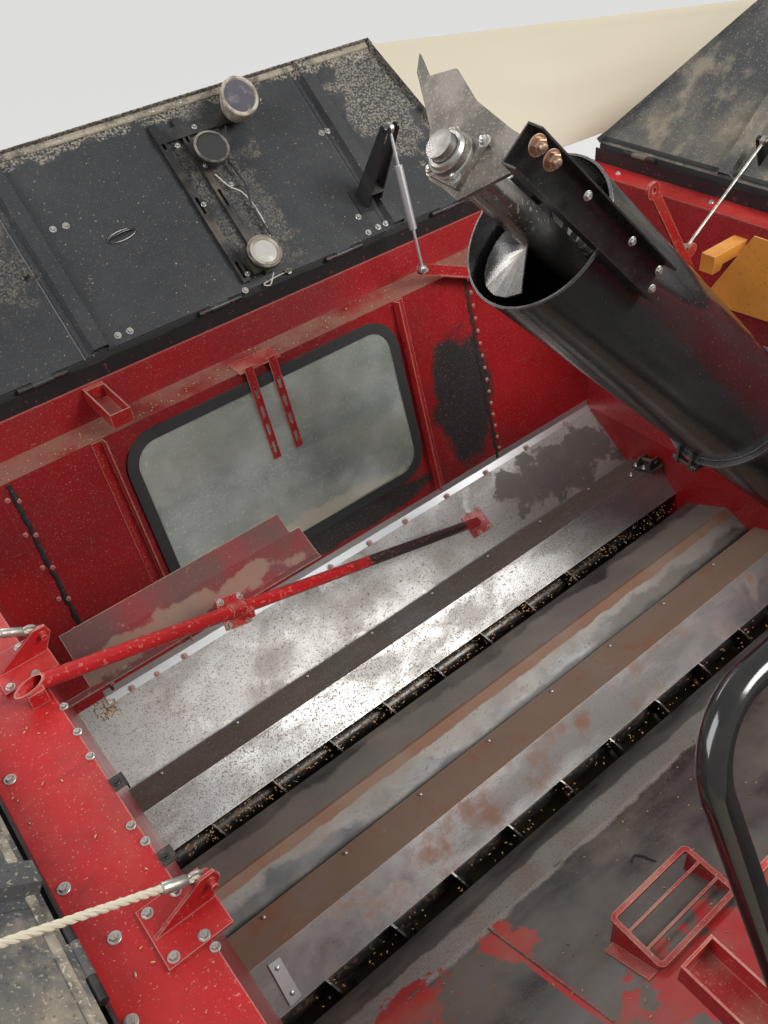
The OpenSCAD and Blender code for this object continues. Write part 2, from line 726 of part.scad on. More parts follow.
module at_tube() { translate(tube_at) rotate([0, 0, tube_yaw]) rotate([0, -tube_lean, 0]) children(); }
module tube_lug(y, up, hole) {
    translate([0, y, 0]) rotate([90, 0, 0]) difference() {
        linear_extrude(8) {
            translate([fold_pin_x, 0]) circle(13);
            polygon([[-tube_r + 1, up * 52], [fold_pin_x - 12, up * 5], [fold_pin_x + 12, up * 4],
                [-tube_r + 1, up * 10]]);
        }
        translate([fold_pin_x, 0, -1]) cylinder(r = hole, h = 10);
    }
}
module loading_tube() {
    color([0.2, 0.2, 0.22]) at_tube() difference() {
        union() {
            translate([0, 0, 1]) cylinder(r = tube_r, h = tube_l - 1, $fn = 96);
            translate([0, 0, 1]) cylinder(r = flange_r, h = flange_t, $fn = 96);
            for (y = [30, -22]) tube_lug(y, 1, fold_pin_r + running);
        }
        translate([0, 0, -1]) cylinder(r = tube_r - tube_t, h = tube_l + 5, $fn = 96);
    }
}
boot_shaft_r = 25;
module auger_boot() {
    color([0.25, 0.25, 0.27]) at_tube() difference() {
        union() {
            translate([0, 0, -boot_l]) cylinder(r = tube_r, h = boot_l - 1, $fn = 96);
            translate([0, 0, -1 - flange_t]) cylinder(r = flange_r, h = flange_t, $fn = 96);
            translate([0, 0, -boot_l]) cylinder(r = tube_r + 40, h = flange_t, $fn = 96);
            for (y = [39, -31]) tube_lug(y, -1, fold_pin_r - 1);
            translate([fold_pin_x, 0, 0]) rotate([90, 0, 0]) cylinder(r = fold_pin_r, h = 90, center = true);
        }
        difference() {
            translate([0, 0, -boot_l - 1]) cylinder(r = tube_r - tube_t, h = boot_l + 5, $fn = 96);
            translate([-tube_r, -15, -boot_l]) cube([2 * tube_r, 30, 12]);
            translate([0, 0, -boot_l]) cylinder(r = 45, h = 30);
        }
        translate([0, 0, -boot_l - 1]) cylinder(r = boot_shaft_r + running, h = 40);
        for (k = [0:7]) rotate([0, 0, 45 * k]) translate([tube_r + 22, 0, -boot_l - 1])
            cylinder(r = 5.5, h = 20);
    }
}
arm_from = 900;
arm_to = tube_l + 340;
module tube_arm() {
    color([0.08, 0.08, 0.08]) at_tube() difference() {
        translate([55 - 41, -tube_r - 40, arm_from]) cube([82, 40, arm_to - arm_from]);
        translate([55 - 37, -tube_r - 44, arm_from - 1]) cube([74, 40, arm_to - arm_from + 2]);
    }
}
module bearing_plate() {
    outline = [[165, 310], [128, 235], [161, 168], [118, 60], [92, -82], [88, -121], [88, -tube_r + 1],
        [44, -tube_r + 1], [20, -143], [-66, -60], [-59, -15], [-55, 49], [38, 140], [126, 279]];
    color("gray") at_tube() translate([0, 0, bearing_at]) difference() {
        union() {
            linear_extrude(8) polygon(outline);
            translate([0, 0, 8]) linear_extrude(12) square([100, 100], center = true);
            translate([0, 0, 8]) cylinder(r = 45, h = 36);
        }
        translate([0, 0, -1]) cylinder(r = 30 + running, h = 60);
    }
}
screw_core = 40;
screw_pitch = 300;
screw_end = 30;
module loading_screw() {
    color("gray") at_tube() {
        translate([0, 0, 12]) cylinder(r = screw_core, h = bearing_at - 18);
        translate([0, 0, 12]) cylinder(r = screw_end, h = bearing_at + 60);
    }
}
module loading_flight() {
    color("gray") at_tube() translate([0, 0, 40])
        flight(ribbon_r(screw_core), screw_d / 2, screw_pitch, tube_l - 20, 5);
}
module boot_screw() {
    color("gray") at_tube() {
        translate([0, 0, -boot_l + 36]) cylinder(r = screw_core, h = boot_l - 50);
        translate([0, 0, -boot_l - 2]) cylinder(r = boot_shaft_r, h = 60);
        translate([0, 0, -boot_l - 72]) cylinder(r = boot_shaft_r - 2.5, h = 71);
    }
}
module boot_flight() {
    color("gray") at_tube() translate([0, 0, -boot_l + 45])
        flight(ribbon_r(screw_core), screw_d / 2, screw_pitch, boot_l - 75, 5);
}

// Drive side of the loading auger

guard_plate_x = wr - 160;
module drive_guard() {
    color("orange") {
        along_x(guard_plate_x, guard_plate_x + 4) polygon([[202, rim_z - 207], [404, rim_z - 219],
            [431, rim_z - 199], [299, rim_z + 46], [150, rim_z + 46], [150, rim_z - 190]]);
        translate([guard_plate_x, 150, rim_z]) cube([wr + 60 - guard_plate_x, 140, 4]);
    }
    color("firebrick") translate([0, 405, 0]) along_y(0, 50) polygon([
        [wr - 180, rim_z - 110], [wr - 140, rim_z - 110], [wr - 130, rim_z - 90],
        [right_x(rim_z - 90), rim_z - 90], [right_x(rim_z - 50), rim_z - 50], [wr - 180, rim_z - 50]]);
}
module torque_tube() {
    color("red") {
        translate([torque_at[0], 90, torque_at[1]]) rotate([-90, 0, 0])
            cylinder(r = 20, h = lever_plane + 14 - 90);
        for (y = [110, 430]) along_y(y, y + 12) polygon([[torque_at[0], torque_at[1] - 18],
            [right_x(torque_at[1] - 18), torque_at[1] - 18], [right_x(torque_at[1] + 18), torque_at[1] + 18],
            [torque_at[0], torque_at[1] + 18]]);
    }
}

// Covers, each in its hinge frame: X along the hinge, Y away from it, Z to the inner face

module cover_panel(near0, near1, far0, far1, l, places) {
    outline = [[near1, panel_v0], [far1, l], [far0, l], [near0, panel_v0]];
    translate([0, 0, -panel_t / 2]) linear_extrude(panel_t) polygon(outline);
    linear_extrude(rib_d) polygon(sheet(outline, 3));
    hinge_moving(places);
}
module hat_rib(l, v0) {
    section = [[-45, 0], [-26, 0], [-20, rib_d - 3], [20, rib_d - 3], [26, 0], [45, 0]];
    translate([0, l, panel_t / 2]) rotate([90, 0, 0]) linear_extrude(l - v0) polygon(sheet(section, 2));
}
module front_cover_frame() { at_front_hinge() rotate([cover_open, 0, 0]) children(); }
module rear_cover_frame() { mirror([0, 1, 0]) front_cover_frame() children(); }
module side_cover_frame(s) { at_side_hinge(s) rotate([cover_open, 0, 0]) children(); }
far_left = -912;
far_right = 720;
module end_cover() { cover_panel(cover_left, cover_right, far_left, far_right, end_cover_l, end_hinges); }
cover_ribs_x = [-640, 430];
module front_cover() {
    color([0.25, 0.26, 0.28]) front_cover_frame() {
        end_cover();
        for (x = cover_ribs_x) translate([x, 0, 0]) hat_rib(end_cover_l - 4, 16);
    }
}
module rear_cover() {
    color([0.25, 0.26, 0.28]) rear_cover_frame() {
        end_cover();
        for (x = cover_ribs_x) translate([x, 0, 0]) hat_rib(end_cover_l - 4, 16);
    }
}
side_near = fy - 6;
side_far = side_near - cover_mitre * side_cover_l;
module side_cover() { cover_panel(-side_near, side_near, -side_far, side_far, side_cover_l, side_hinges); }
// Ribs of the side covers: place along the hinge and length
side_ribs_at = [[-600, 1060], [-200, side_cover_l - 4], [200, side_cover_l - 4], [600, 1060]];
module side_ribs() { for (r = side_ribs_at) translate([r[0], 0, 0]) hat_rib(r[1], 16); }
module left_cover() {
    color([0.35, 0.35, 0.36]) side_cover_frame(-1) {
        side_cover();
        side_ribs();
    }
}
module right_cover() {
    color([0.35, 0.35, 0.36]) side_cover_frame(1) {
        side_cover();
        side_ribs();
    }
}

// Lamps and brackets on the front cover

lamp_rail_x = [-150, -70];
module lamp_rails() {
    color([0.2, 0.2, 0.2]) front_cover_frame() {
        for (x = lamp_rail_x) difference() {
            translate([x - 13, 30, panel_t / 2]) cube([26, 560, 16]);
            translate([x - 10, 29, panel_t / 2 - 1]) cube([20, 562, 14]);
            for (v = [70, 300, 530]) translate([x, v, 10]) rounded_slot(9, 60, 30);
        }
        translate([-165, 520, panel_t / 2 + 16]) cube([320, 40, 4]);
        translate([-83, 400, panel_t / 2 + 16]) cube([80, 50, 4]);
        translate([-120, 40, panel_t / 2 + 16]) cube([70, 60, 4]);
    }
}
// Lamp places: along the hinge, away from it, height off the panel, radius, depth
lamps = [[115, 540, 20, 70, 90], [-44, 430, 20, 55, 60], [-78, 70, 20, 55, 60]];
module work_lamps() {
    color([0.9, 0.88, 0.8]) front_cover_frame() for (l = lamps) translate([l[0], l[1], l[2] + 1.6]) {
        cylinder(r = 12, h = 20);
        translate([0, 0, 18]) cylinder(r1 = l[3] - 20, r2 = l[3], h = l[4] - 30);
        translate([0, 0, l[4] - 12]) cylinder(r = l[3], h = 14);
    }
}
module rib_block(l, v0) {
    section = [[-46, -1], [-46, 3 + seat], [-29, 3 + seat], [-22.5, rib_d + seat],
        [22.5, rib_d + seat], [29, 3 + seat], [46, 3 + seat], [46, -1]];
    translate([0, l, panel_t / 2 - 1]) rotate([90, 0, 0]) linear_extrude(l - v0) polygon(section);
}
// Side plate of a link bracket: foot on the panel, round end at the pin
module link_cheek(foot, pin, r) {
    difference() {
        union() {
            polygon([[foot[0], panel_t / 2], [foot[1], panel_t / 2],
                [pin[0] + r, pin[1]], [pin[0] - r, pin[1]]]);
            translate(pin) circle(r);
        }
        translate(pin) circle(link_pin_r);
    }
}
module front_cover_bracket() {
    x = bracket_pin[0];
    v = bracket_pin[1];
    w = bracket_pin[2];
    color([0.15, 0.15, 0.15]) front_cover_frame() {
        difference() {
            union() {
                for (s = [-1, 1]) translate([x + s * 24 - 3, 0, 0]) along_x(0, 6)
                    link_cheek([100, 170], [v, w], 14);
                translate([x - 60, 90, panel_t / 2]) cube([60, 90, 4]);
                translate([x - 27, 112, panel_t / 2 + 60]) cube([54, 40, 4]);
            }
            translate([cover_ribs_x[1], 0, 0]) rib_block(end_cover_l, 10);
        }
        translate([x - 30, v, w]) rotate([0, 90, 0]) cylinder(r = link_pin_r, h = 60);
    }
}
module right_cover_bracket() {
    color([0.2, 0.2, 0.2]) side_cover_frame(1) {
        for (s = [-1, 1]) translate([-torque_y + s * 20 - 3, 0, 0]) along_x(0, 6)
            link_cheek([80, 160], right_pin, 13);
    }
}

// Soft corners and ropes

function cover_point(x, v, w) = [x, hinge_y + v * cos(cover_open) - w * sin(cover_open),
    hinge_z + v * sin(cover_open) + w * cos(cover_open)];
function side_point(s, y, v, w) = [s * (hinge_x + v * cos(cover_open) - w * sin(cover_open)), y,
    hinge_z + v * sin(cover_open) + w * cos(cover_open)];
module slab(a, b, c, d, t) {
    n = t * unit(cross(c - a, d - b));
    points = [a, b, c, d, a + n, b + n, c + n, d + n];
    polyhedron(points, [[2, 1, 0], [3, 2, 0], [4, 5, 6], [4, 6, 7], [0, 1, 5], [0, 5, 4],
        [1, 2, 6], [1, 6, 5], [2, 3, 7], [2, 7, 6], [3, 0, 4], [3, 4, 7]]);
}
module corner_sheet(near, far, s) {
    v = end_cover_l - 30;
    w_end = rib_d + 3.6;
    w_side = rib_d + 2.8;
    a = cover_point(near, 40, w_end);
    b = cover_point(far, v, w_end);
    c = side_point(s, side_near - cover_mitre * v - 4, v, w_side);
    d = side_point(s, side_near - 24, 40, w_side);
    if (s > 0) slab(a, b, c, d, 4);
    else slab(d, c, b, a, 4);
}
module corner_fabric() {
    color("tan") for (m = [0, 1]) mirror([0, m, 0]) {
        corner_sheet(cover_right - 12, far_right - 4, 1);
        corner_sheet(cover_left + 12, far_left + 4, -1);
    }
}
rope_r = 7;
rope_v = 560;
module left_ropes() {
    color("wheat") for (y = bracket_y) {
        a = [wl + 40, y + 10.5, rim_z + 50];
        b = side_point(-1, y + 10.5, rope_v, rope_r + panel_t / 2 + seat);
        rod(a + (6 + seat) * unit(b - a), b, rope_r);
    }
}

// Levers and links

module at_lever() {
    p = lever_pivot;
    a = atan2(lever_tip_v - p[1], bracket_pin[0] - p[0]);
    on_front_wall() translate([p[0], p[1], p[2]]) rotate([0, 0, a]) children();
}
module front_lever() {
    color("crimson") at_lever() {
        translate([0, 0, -10]) linear_extrude(4) difference() {
            union() {
                translate([0, -18]) square([lever_l, 36]);
                circle(24);
                translate([lever_l, 0]) circle(18);
            }
            circle(10 + running);
            translate([lever_l, 0]) circle(link_pin_r);
        }
        translate([26, 14, -10]) cube([lever_l - 96, 4, 24]);
    }
}
module lever_pivot_pin() {
    on_front_wall() translate([lever_pivot[0], lever_pivot[1], -1]) {
        cylinder(r = 10, h = lever_pivot[2] + 5);
        cylinder(r = 20, h = lever_pivot[2] - 10);
        cylinder(r = 45, h = 7);
    }
}
tip_w = lever_pivot[2] + 1.8;
module turnbuckle() {
    a = cover_point(bracket_pin[0], bracket_pin[1], bracket_pin[2]);
    b = [bracket_pin[0], ledge_y + lever_tip_v * sin(wall_lean) - tip_w * cos(wall_lean),
        ledge_z + lever_tip_v * cos(wall_lean) + tip_w * sin(wall_lean)];
    d = unit(a - b);
    color("silver") difference() {
        union() {
            rod(b + 9 * d, a - 11 * d, 5);
            rod(b + 0.3 * (a - b), b + 0.75 * (a - b), 13);
            translate(a) rotate([0, 90, 0]) cylinder(r = 16, h = 12, center = true);
            translate(b) rotate([90 - wall_lean, 0, 0]) cylinder(r = 13, h = 14, center = true);
            translate(b) rotate([90 - wall_lean, 0, 0]) cylinder(r = link_pin_r, h = 24);
        }
        translate(a) rotate([0, 90, 0]) cylinder(r = link_pin_r + running, h = 20, center = true);
    }
}
module at_torque(y) { translate([torque_at[0], y, torque_at[1]]) rotate([90, 0, 0]) children(); }
module right_lever() {
    stay_at = [stay_r * cos(stay_up), stay_r * sin(stay_up)];
    color("crimson") at_torque(lever_plane) {
        translate([0, 0, -10]) linear_extrude(10) difference() {
            union() {
                rotate(right_lever_up) translate([0, -16]) square([right_lever_l, 32]);
                circle(34);
                rotate(right_lever_up) translate([right_lever_l, 0]) circle(26);
                translate(stay_at) circle(22);
            }
            circle(20 + running);
            rotate(right_lever_up) translate([right_lever_l, 0]) circle(9);
        }
        translate([stay_at[0], stay_at[1], -38]) cylinder(r = link_pin_r, h = 30);
    }
}
module right_stay_rod() {
    a = [torque_at[0] + stay_r * cos(stay_up), torque_y, torque_at[1] + stay_r * sin(stay_up)];
    b = side_point(1, torque_y, right_pin[0], right_pin[1]);
    d = unit(b - a);
    color("silver") difference() {
        union() {
            rod(a + 10 * d, b - 10 * d, 5);
            translate(a) rotate([90, 0, 0]) cylinder(r = 13, h = 14, center = true);
            translate(b) rotate([90, 0, 0]) cylinder(r = 16, h = 14, center = true);
            translate(b) rotate([90, 0, 0]) cylinder(r = link_pin_r, h = 33, center = true);
        }
        translate(a) rotate([90, 0, 0]) cylinder(r = link_pin_r + running, h = 30, center = true);
    }
}

front_wall_centre();
front_wall_corners();
left_wall();
right_wall();
rear_wall();
floor_sheets();
auger_troughs();
rim_rails();
hinge_strips();
window_glass();
window_seal();
front_wall_fittings();
folded_guard();
brace_tube();
floor_joint_strip();
front_auger_roof();
rear_auger_roof();
rope_brackets();
slope_step();
wall_step();
grab_rail();
grab_brackets();
wall_ribs();
cradle_plates();
underframe();
beam_caps();
feet();
outlet_sump();
auger_bearings();
auger_boot();
drive_guard();
torque_tube();
front_cover();
lamp_rails();
work_lamps();
front_cover_bracket();
rear_cover();
left_cover();
right_cover();
right_cover_bracket();
corner_fabric();
left_ropes();
loading_tube();
tube_arm();
bearing_plate();
loading_screw();
loading_flight();
boot_screw();
boot_flight();
front_auger_pipe();
front_auger_flight();
rear_auger_pipe();
rear_auger_flight();
front_lever();
turnbuckle();
right_lever();
right_stay_rod();
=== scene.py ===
"""Looks of a combine harvester grain tank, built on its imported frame."""

import logging
import math
import random
from dataclasses import dataclass
from enum import Enum
from typing import Optional, Sequence, Union

import bmesh
import bpy
from mathutils import Matrix, Vector, noise


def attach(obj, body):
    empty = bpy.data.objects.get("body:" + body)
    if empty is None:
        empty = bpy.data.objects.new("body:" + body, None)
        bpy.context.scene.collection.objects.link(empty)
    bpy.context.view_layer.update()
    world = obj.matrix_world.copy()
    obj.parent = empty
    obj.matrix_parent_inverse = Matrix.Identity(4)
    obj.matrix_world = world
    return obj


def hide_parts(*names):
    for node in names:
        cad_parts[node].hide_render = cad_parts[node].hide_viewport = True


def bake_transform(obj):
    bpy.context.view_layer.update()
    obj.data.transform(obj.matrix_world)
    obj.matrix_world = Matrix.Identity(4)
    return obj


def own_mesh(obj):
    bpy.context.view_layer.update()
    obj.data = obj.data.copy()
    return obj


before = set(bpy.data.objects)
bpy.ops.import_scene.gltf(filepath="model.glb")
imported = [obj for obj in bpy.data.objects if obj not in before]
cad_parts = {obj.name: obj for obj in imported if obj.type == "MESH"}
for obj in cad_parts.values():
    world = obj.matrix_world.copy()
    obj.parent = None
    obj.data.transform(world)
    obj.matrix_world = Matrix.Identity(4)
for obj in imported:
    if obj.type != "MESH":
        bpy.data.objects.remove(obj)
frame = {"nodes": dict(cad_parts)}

logging.basicConfig(level=logging.INFO, format="%(name)s: %(message)s")
LOG = logging.getLogger("grain_tank")

MM = 0.001
Triple = tuple[float, float, float]
Pair = tuple[float, float]


# Places.


def circle(count: int) -> list[Pair]:
    """Corners of a circle of radius 1."""
    angles = [2 * math.pi * k / count for k in range(count)]
    return [(math.cos(a), math.sin(a)) for a in angles]


def at(place: Matrix, x: float, y: float, z: float) -> Matrix:
    """A place moved by millimetres along its own axes."""
    return place @ Matrix.Translation(Vector((x, y, z)) * MM)


def turn(place: Matrix, axis: str, degrees: float) -> Matrix:
    """A place turned about one of its own axes."""
    return place @ Matrix.Rotation(math.radians(degrees), 4, axis)


WORLD = Matrix.Identity(4)
COVER_OPEN = 41.0
COVER_COS = math.cos(math.radians(COVER_OPEN))
COVER_SIN = math.sin(math.radians(COVER_OPEN))
HINGE_Y, HINGE_X, HINGE_Z = 1154, 1378, 1928
COVER = turn(at(WORLD, 0, HINGE_Y, HINGE_Z), "X", COVER_OPEN)
SIDE = turn(at(WORLD, 0, HINGE_X, HINGE_Z), "X", COVER_OPEN)
RIGHT_COVER = turn(WORLD, "Z", -90) @ SIDE
LEFT_COVER = turn(WORLD, "Z", 90) @ SIDE
FRONT_WALL = turn(at(WORLD, 0, 1027, 1770), "X", 77)
FRONT_FLOOR = turn(at(WORLD, 0, 858.5, 1040), "X", 36)
REAR_SLOPE = turn(at(WORLD, 0, -381, 995), "X", -30)
TUBE = turn(turn(at(WORLD, 823, 101, 1541), "Z", -7.3), "Y", -44)
RIM = at(WORLD, 0, 0, 1870)


# Shader graph.


class Sock:
    """A socket of a material's graph, with arithmetic."""

    def __init__(self, graph: "Graph", socket: bpy.types.NodeSocket) -> None:
        """Keeps the graph and the socket."""
        self.graph = graph
        self.socket = socket

    def __add__(self, other: "Number") -> "Sock":
        """Sum."""
        return self.graph.math("ADD", self, other)

    def __sub__(self, other: "Number") -> "Sock":
        """Difference."""
        return self.graph.math("SUBTRACT", self, other)

    def __rsub__(self, other: "Number") -> "Sock":
        """Difference with the socket on the right."""
        return self.graph.math("SUBTRACT", other, self)

    def __mul__(self, other: "Number") -> "Sock":
        """Product."""
        return self.graph.math("MULTIPLY", self, other)

    __radd__ = __add__
    __rmul__ = __mul__

    def step(self, low: float, high: float) -> "Sock":
        """A smooth step.

        Args:
            low: Value that gives 0.
            high: Value that gives 1.

        Returns:
            The stepped socket.
        """
        settings = {"interpolation_type": "SMOOTHSTEP"}
        values = {"Value": self, "From Min": low, "From Max": high}
        return self.graph.add("MapRange", settings, values)


Number = Union[Sock, float, int]
Input = Union[Sock, float, int, tuple]


class Graph:
    """The node graph of one material."""

    def __init__(self, name: str) -> None:
        """Starts an empty material."""
        self.material = bpy.data.materials.new(name)
        self.material.use_nodes = True
        self.tree = self.material.node_tree
        self.tree.nodes.clear()
        self.place = self.add("TexCoord", out="Object")
        self.normal = self.add("NewGeometry", out="Normal")

    def add(
        self,
        kind: str,
        settings: Optional[dict] = None,
        values: Optional[dict] = None,
        out: Union[str, int] = 0,
    ) -> Sock:
        """Adds a node.

        Args:
            kind: Node type without its common first word.
            settings: Attributes, set before the sockets.
            values: Constants or links, by input name or number.
            out: Output wanted.

        Returns:
            The output socket.
        """
        node = self.tree.nodes.new("ShaderNode" + kind)
        for key, value in (settings or {}).items():
            setattr(node, key, value)
        for key, value in (values or {}).items():
            if isinstance(value, Sock):
                self.tree.links.new(value.socket, node.inputs[key])
            else:
                node.inputs[key].default_value = value
        return Sock(self, node.outputs[out])

    def math(self, operation: str, *values: Number) -> Sock:
        """A maths node on one to three values."""
        return self.add("Math", {"operation": operation}, dict(enumerate(values)))

    def vector(self, operation: str, *values: Input, out: int = 0) -> Sock:
        """A vector maths node; out 1 is its number."""
        return self.add("VectorMath", {"operation": operation}, dict(enumerate(values)), out)

    def mix(self, factor: Number, a: Input, b: Input) -> Sock:
        """A colour between a and b."""
        ends = {0: factor, 6: a, 7: b}
        return self.add("Mix", {"data_type": "RGBA"}, ends, 2)

    def show(self, shader: Sock) -> bpy.types.Material:
        """Links the shader to the material's output and returns the material."""
        output = self.tree.nodes.new("ShaderNodeOutputMaterial")
        self.tree.links.new(shader.socket, output.inputs["Surface"])
        return self.material

    def noise(self, scale: float, detail: float = 5.0, coord: Optional[Sock] = None) -> Sock:
        """Fractal noise of the given scale per metre."""
        values = {"Vector": coord or self.place, "Scale": scale, "Detail": detail, "Roughness": 0.58}
        return self.add("TexNoise", None, values)


def rgb(colour: Triple) -> tuple[float, float, float, float]:
    """A colour with its alpha."""
    return (*colour, 1.0)


class Spread(Enum):
    """How a layer lies on a finish."""

    CLOUD = "broad soft patches"
    SPECK = "fine hard specks"
    DUST = "lies on faces that look up"
    AWAY = "lies on faces that look forward"
    EDGE = "worn edges"
    PATCH = "one ragged place"
    CRACK = "thin scratches"


@dataclass(frozen=True)
class Layer:
    """One layer of a finish: what it looks like and where it lies."""

    spread: Spread
    colour: Triple
    rough: float = 0.7
    metal: float = 0.0
    amount: float = 0.5
    scale: float = 8.0
    strength: float = 1.0
    stretch: Triple = (1.0, 1.0, 1.0)
    tilt: Triple = (0.0, 0.0, 0.0)
    centre: Triple = (0.0, 0.0, 0.0)
    reach: Triple = (1.0, 1.0, 1.0)
    ragged: float = 0.9
    grainy: float = 0.0
    facing: Optional[Triple] = None

    def coord(self, graph: Graph) -> Sock:
        """Place of a point, turned and stretched for this layer."""
        if self.stretch == (1.0, 1.0, 1.0) and self.tilt == (0.0, 0.0, 0.0):
            return graph.place
        turns = tuple(math.radians(a) for a in self.tilt)
        values = {"Vector": graph.place, "Rotation": turns}
        turned = graph.add("Mapping", {"vector_type": "POINT"}, values)
        return graph.vector("MULTIPLY", turned, self.stretch)

    def mask(self, graph: Graph) -> Sock:
        """Share of this layer at a point.

        Args:
            graph: Graph of the material.

        Returns:
            A socket from 0 to 1.
        """
        edge = 0.72 - 0.44 * self.amount
        place = self.coord(graph)
        if self.spread is Spread.CLOUD:
            found = graph.noise(self.scale, 8, place).step(edge - 0.09, edge + 0.09)
        elif self.spread is Spread.SPECK:
            found = graph.noise(self.scale, 3, place).step(edge - 0.025, edge + 0.03)
        elif self.spread is Spread.DUST:
            up = graph.add("SeparateXYZ", None, {"Vector": graph.normal}, "Z").step(0.3, 0.95)
            found = up * graph.noise(self.scale, 9, place).step(edge - 0.16, edge + 0.14)
        elif self.spread is Spread.AWAY:
            ahead = graph.add("SeparateXYZ", None, {"Vector": graph.normal}, "Y").step(0.05, 0.3)
            found = ahead * graph.noise(self.scale, 7, place).step(edge - 0.2, edge + 0.1)
        elif self.spread is Spread.EDGE:
            soft = graph.add("Bevel", {"samples": 3}, {"Radius": 0.004})
            bend = 1.0 - graph.vector("DOT_PRODUCT", soft, graph.normal, out=1)
            found = (bend + (graph.noise(self.scale, 4, place) - 0.5) * 0.35).step(0.05, 0.16)
        elif self.spread is Spread.CRACK:
            cells = graph.add(
                "TexVoronoi",
                {"feature": "DISTANCE_TO_EDGE"},
                {"Vector": place, "Scale": self.scale},
            )
            line = 1.0 - cells.step(0.0, 0.03)
            found = line * graph.noise(self.scale * 0.8, 2).step(edge, edge + 0.05)
        else:
            offset = graph.vector("SUBTRACT", graph.place, self.centre)
            share = graph.vector("DIVIDE", offset, self.reach)
            away = graph.vector("LENGTH", share, out=1)
            ragged = away + (graph.noise(self.scale, 8) - 0.5) * self.ragged * 2.0
            found = 1.0 - ragged.step(0.78, 1.0)
        if self.grainy:
            found = found * graph.noise(self.grainy, 7).step(0.44, 0.60)
        if self.facing is not None:
            found = found * graph.vector("DOT_PRODUCT", graph.normal, self.facing, out=1).step(0.0, 0.3)
        return found * self.strength


@dataclass(frozen=True)
class Finish:
    """A procedural finish: a base with layers of wear, rust, dust and marks."""

    name: str
    base: Triple
    rough: float = 0.5
    metal: float = 0.0
    layers: tuple[Layer, ...] = ()
    tone: float = 0.22
    tone_scale: float = 2.2
    grain: float = 0.12
    grain_scale: float = 260.0
    dents: float = 0.0
    coat: float = 0.0
    alpha: float = 1.0
    weave: float = 0.0

    def material(self) -> bpy.types.Material:
        """The finish's material, made once."""
        return bpy.data.materials.get(self.name) or self.build()

    def build(self) -> bpy.types.Material:
        """Lays the base and the layers into a shader.

        Returns:
            The new material.
        """
        graph = Graph(self.name)
        wander = graph.noise(self.tone_scale, 6).step(0.25, 0.75)
        low = tuple(c * (1 - self.tone) for c in self.base)
        high = tuple(min(1.0, c * (1 + self.tone)) for c in self.base)
        colour = graph.mix(wander, rgb(low), rgb(high))
        fine = graph.noise(self.grain_scale, 3)
        rough: Number = self.rough + (graph.noise(self.tone_scale * 9, 5) - 0.5) * 0.28
        metal: Number = self.metal
        height: Number = fine * 0.0006
        if self.dents:
            height = height + graph.noise(3.1, 2) * self.dents
        if self.weave:
            for direction in ((1.0, 0.35, 0.0), (-0.35, 1.0, 0.4)):
                across = graph.vector("DOT_PRODUCT", graph.place, direction, out=1)
                height = height + graph.math("SINE", across * self.weave) * 0.0004
        for layer in self.layers:
            mask = layer.mask(graph)
            colour = graph.mix(mask, colour, rgb(layer.colour))
            rough = rough + mask * (layer.rough - rough)
            metal = metal + mask * (layer.metal - metal) if self.metal != layer.metal else metal
        bump = graph.add("Bump", None, {"Strength": self.grain, "Distance": 1.0, "Height": height})
        values = {"Base Color": colour, "Roughness": rough, "Metallic": metal, "Normal": bump}
        if self.coat:
            values.update({"Coat Weight": self.coat, "Coat Roughness": 0.12})
        if self.alpha < 1.0:
            dirt = graph.noise(4.0, 8).step(0.3, 0.75)
            values["Alpha"] = self.alpha + dirt * (1.0 - self.alpha) * 0.8
        LOG.info("finish %s with %d layers", self.name, len(self.layers))
        return graph.show(graph.add("BsdfPrincipled", None, values))


CREAM = (0.50, 0.43, 0.33)
TAN = (0.30, 0.235, 0.16)
SOOT = (0.022, 0.021, 0.021)
RUST = (0.17, 0.062, 0.026)
BARE = (0.44, 0.43, 0.42)
# Wall red, darker than the rail's red (0.42): painted shade of the tank's inner walls.
WALL_RED_SHADED = (0.27, 0.0065, 0.010)
INWARD = (0.0, -1.0, 0.0)


def dust(amount: float, strength: float = 0.6, colour: Triple = TAN, scale: float = 7.0) -> Layer:
    """Dust that settled on upward faces."""
    return Layer(Spread.DUST, colour, 0.9, amount=amount, strength=strength, scale=scale)


def specks(
    colour: Triple, amount: float, scale: float = 120.0, strength: float = 0.8, metal: float = 0.0
) -> Layer:
    """Fine specks of dirt, rust or bare metal."""
    return Layer(Spread.SPECK, colour, 0.7, metal, amount, scale, strength)


def wear(colour: Triple = BARE, scale: float = 40.0, metal: float = 0.6) -> Layer:
    """Edges rubbed through the paint."""
    return Layer(Spread.EDGE, colour, 0.45, metal, scale=scale, strength=0.75)


def cloud(
    colour: Triple,
    rough: float,
    amount: float,
    scale: float,
    strength: float = 1.0,
    metal: float = 0.0,
    stretch: Triple = (1.0, 1.0, 1.0),
    tilt: Triple = (0.0, 0.0, 0.0),
) -> Layer:
    """Broad soft patches over the whole finish."""
    return Layer(Spread.CLOUD, colour, rough, metal, amount, scale, strength, stretch, tilt)


def patch(
    colour: Triple,
    rough: float,
    centre: Triple,
    reach: Triple,
    scale: float,
    ragged: float,
    strength: float = 1.0,
    metal: float = 0.0,
    grainy: float = 0.0,
    facing: Optional[Triple] = None,
) -> Layer:
    """One ragged place of the given centre and reach, in metres."""
    at_place = {"centre": centre, "reach": reach, "ragged": ragged, "grainy": grainy, "facing": facing}
    return Layer(Spread.PATCH, colour, rough, metal, scale=scale, strength=strength, **at_place)


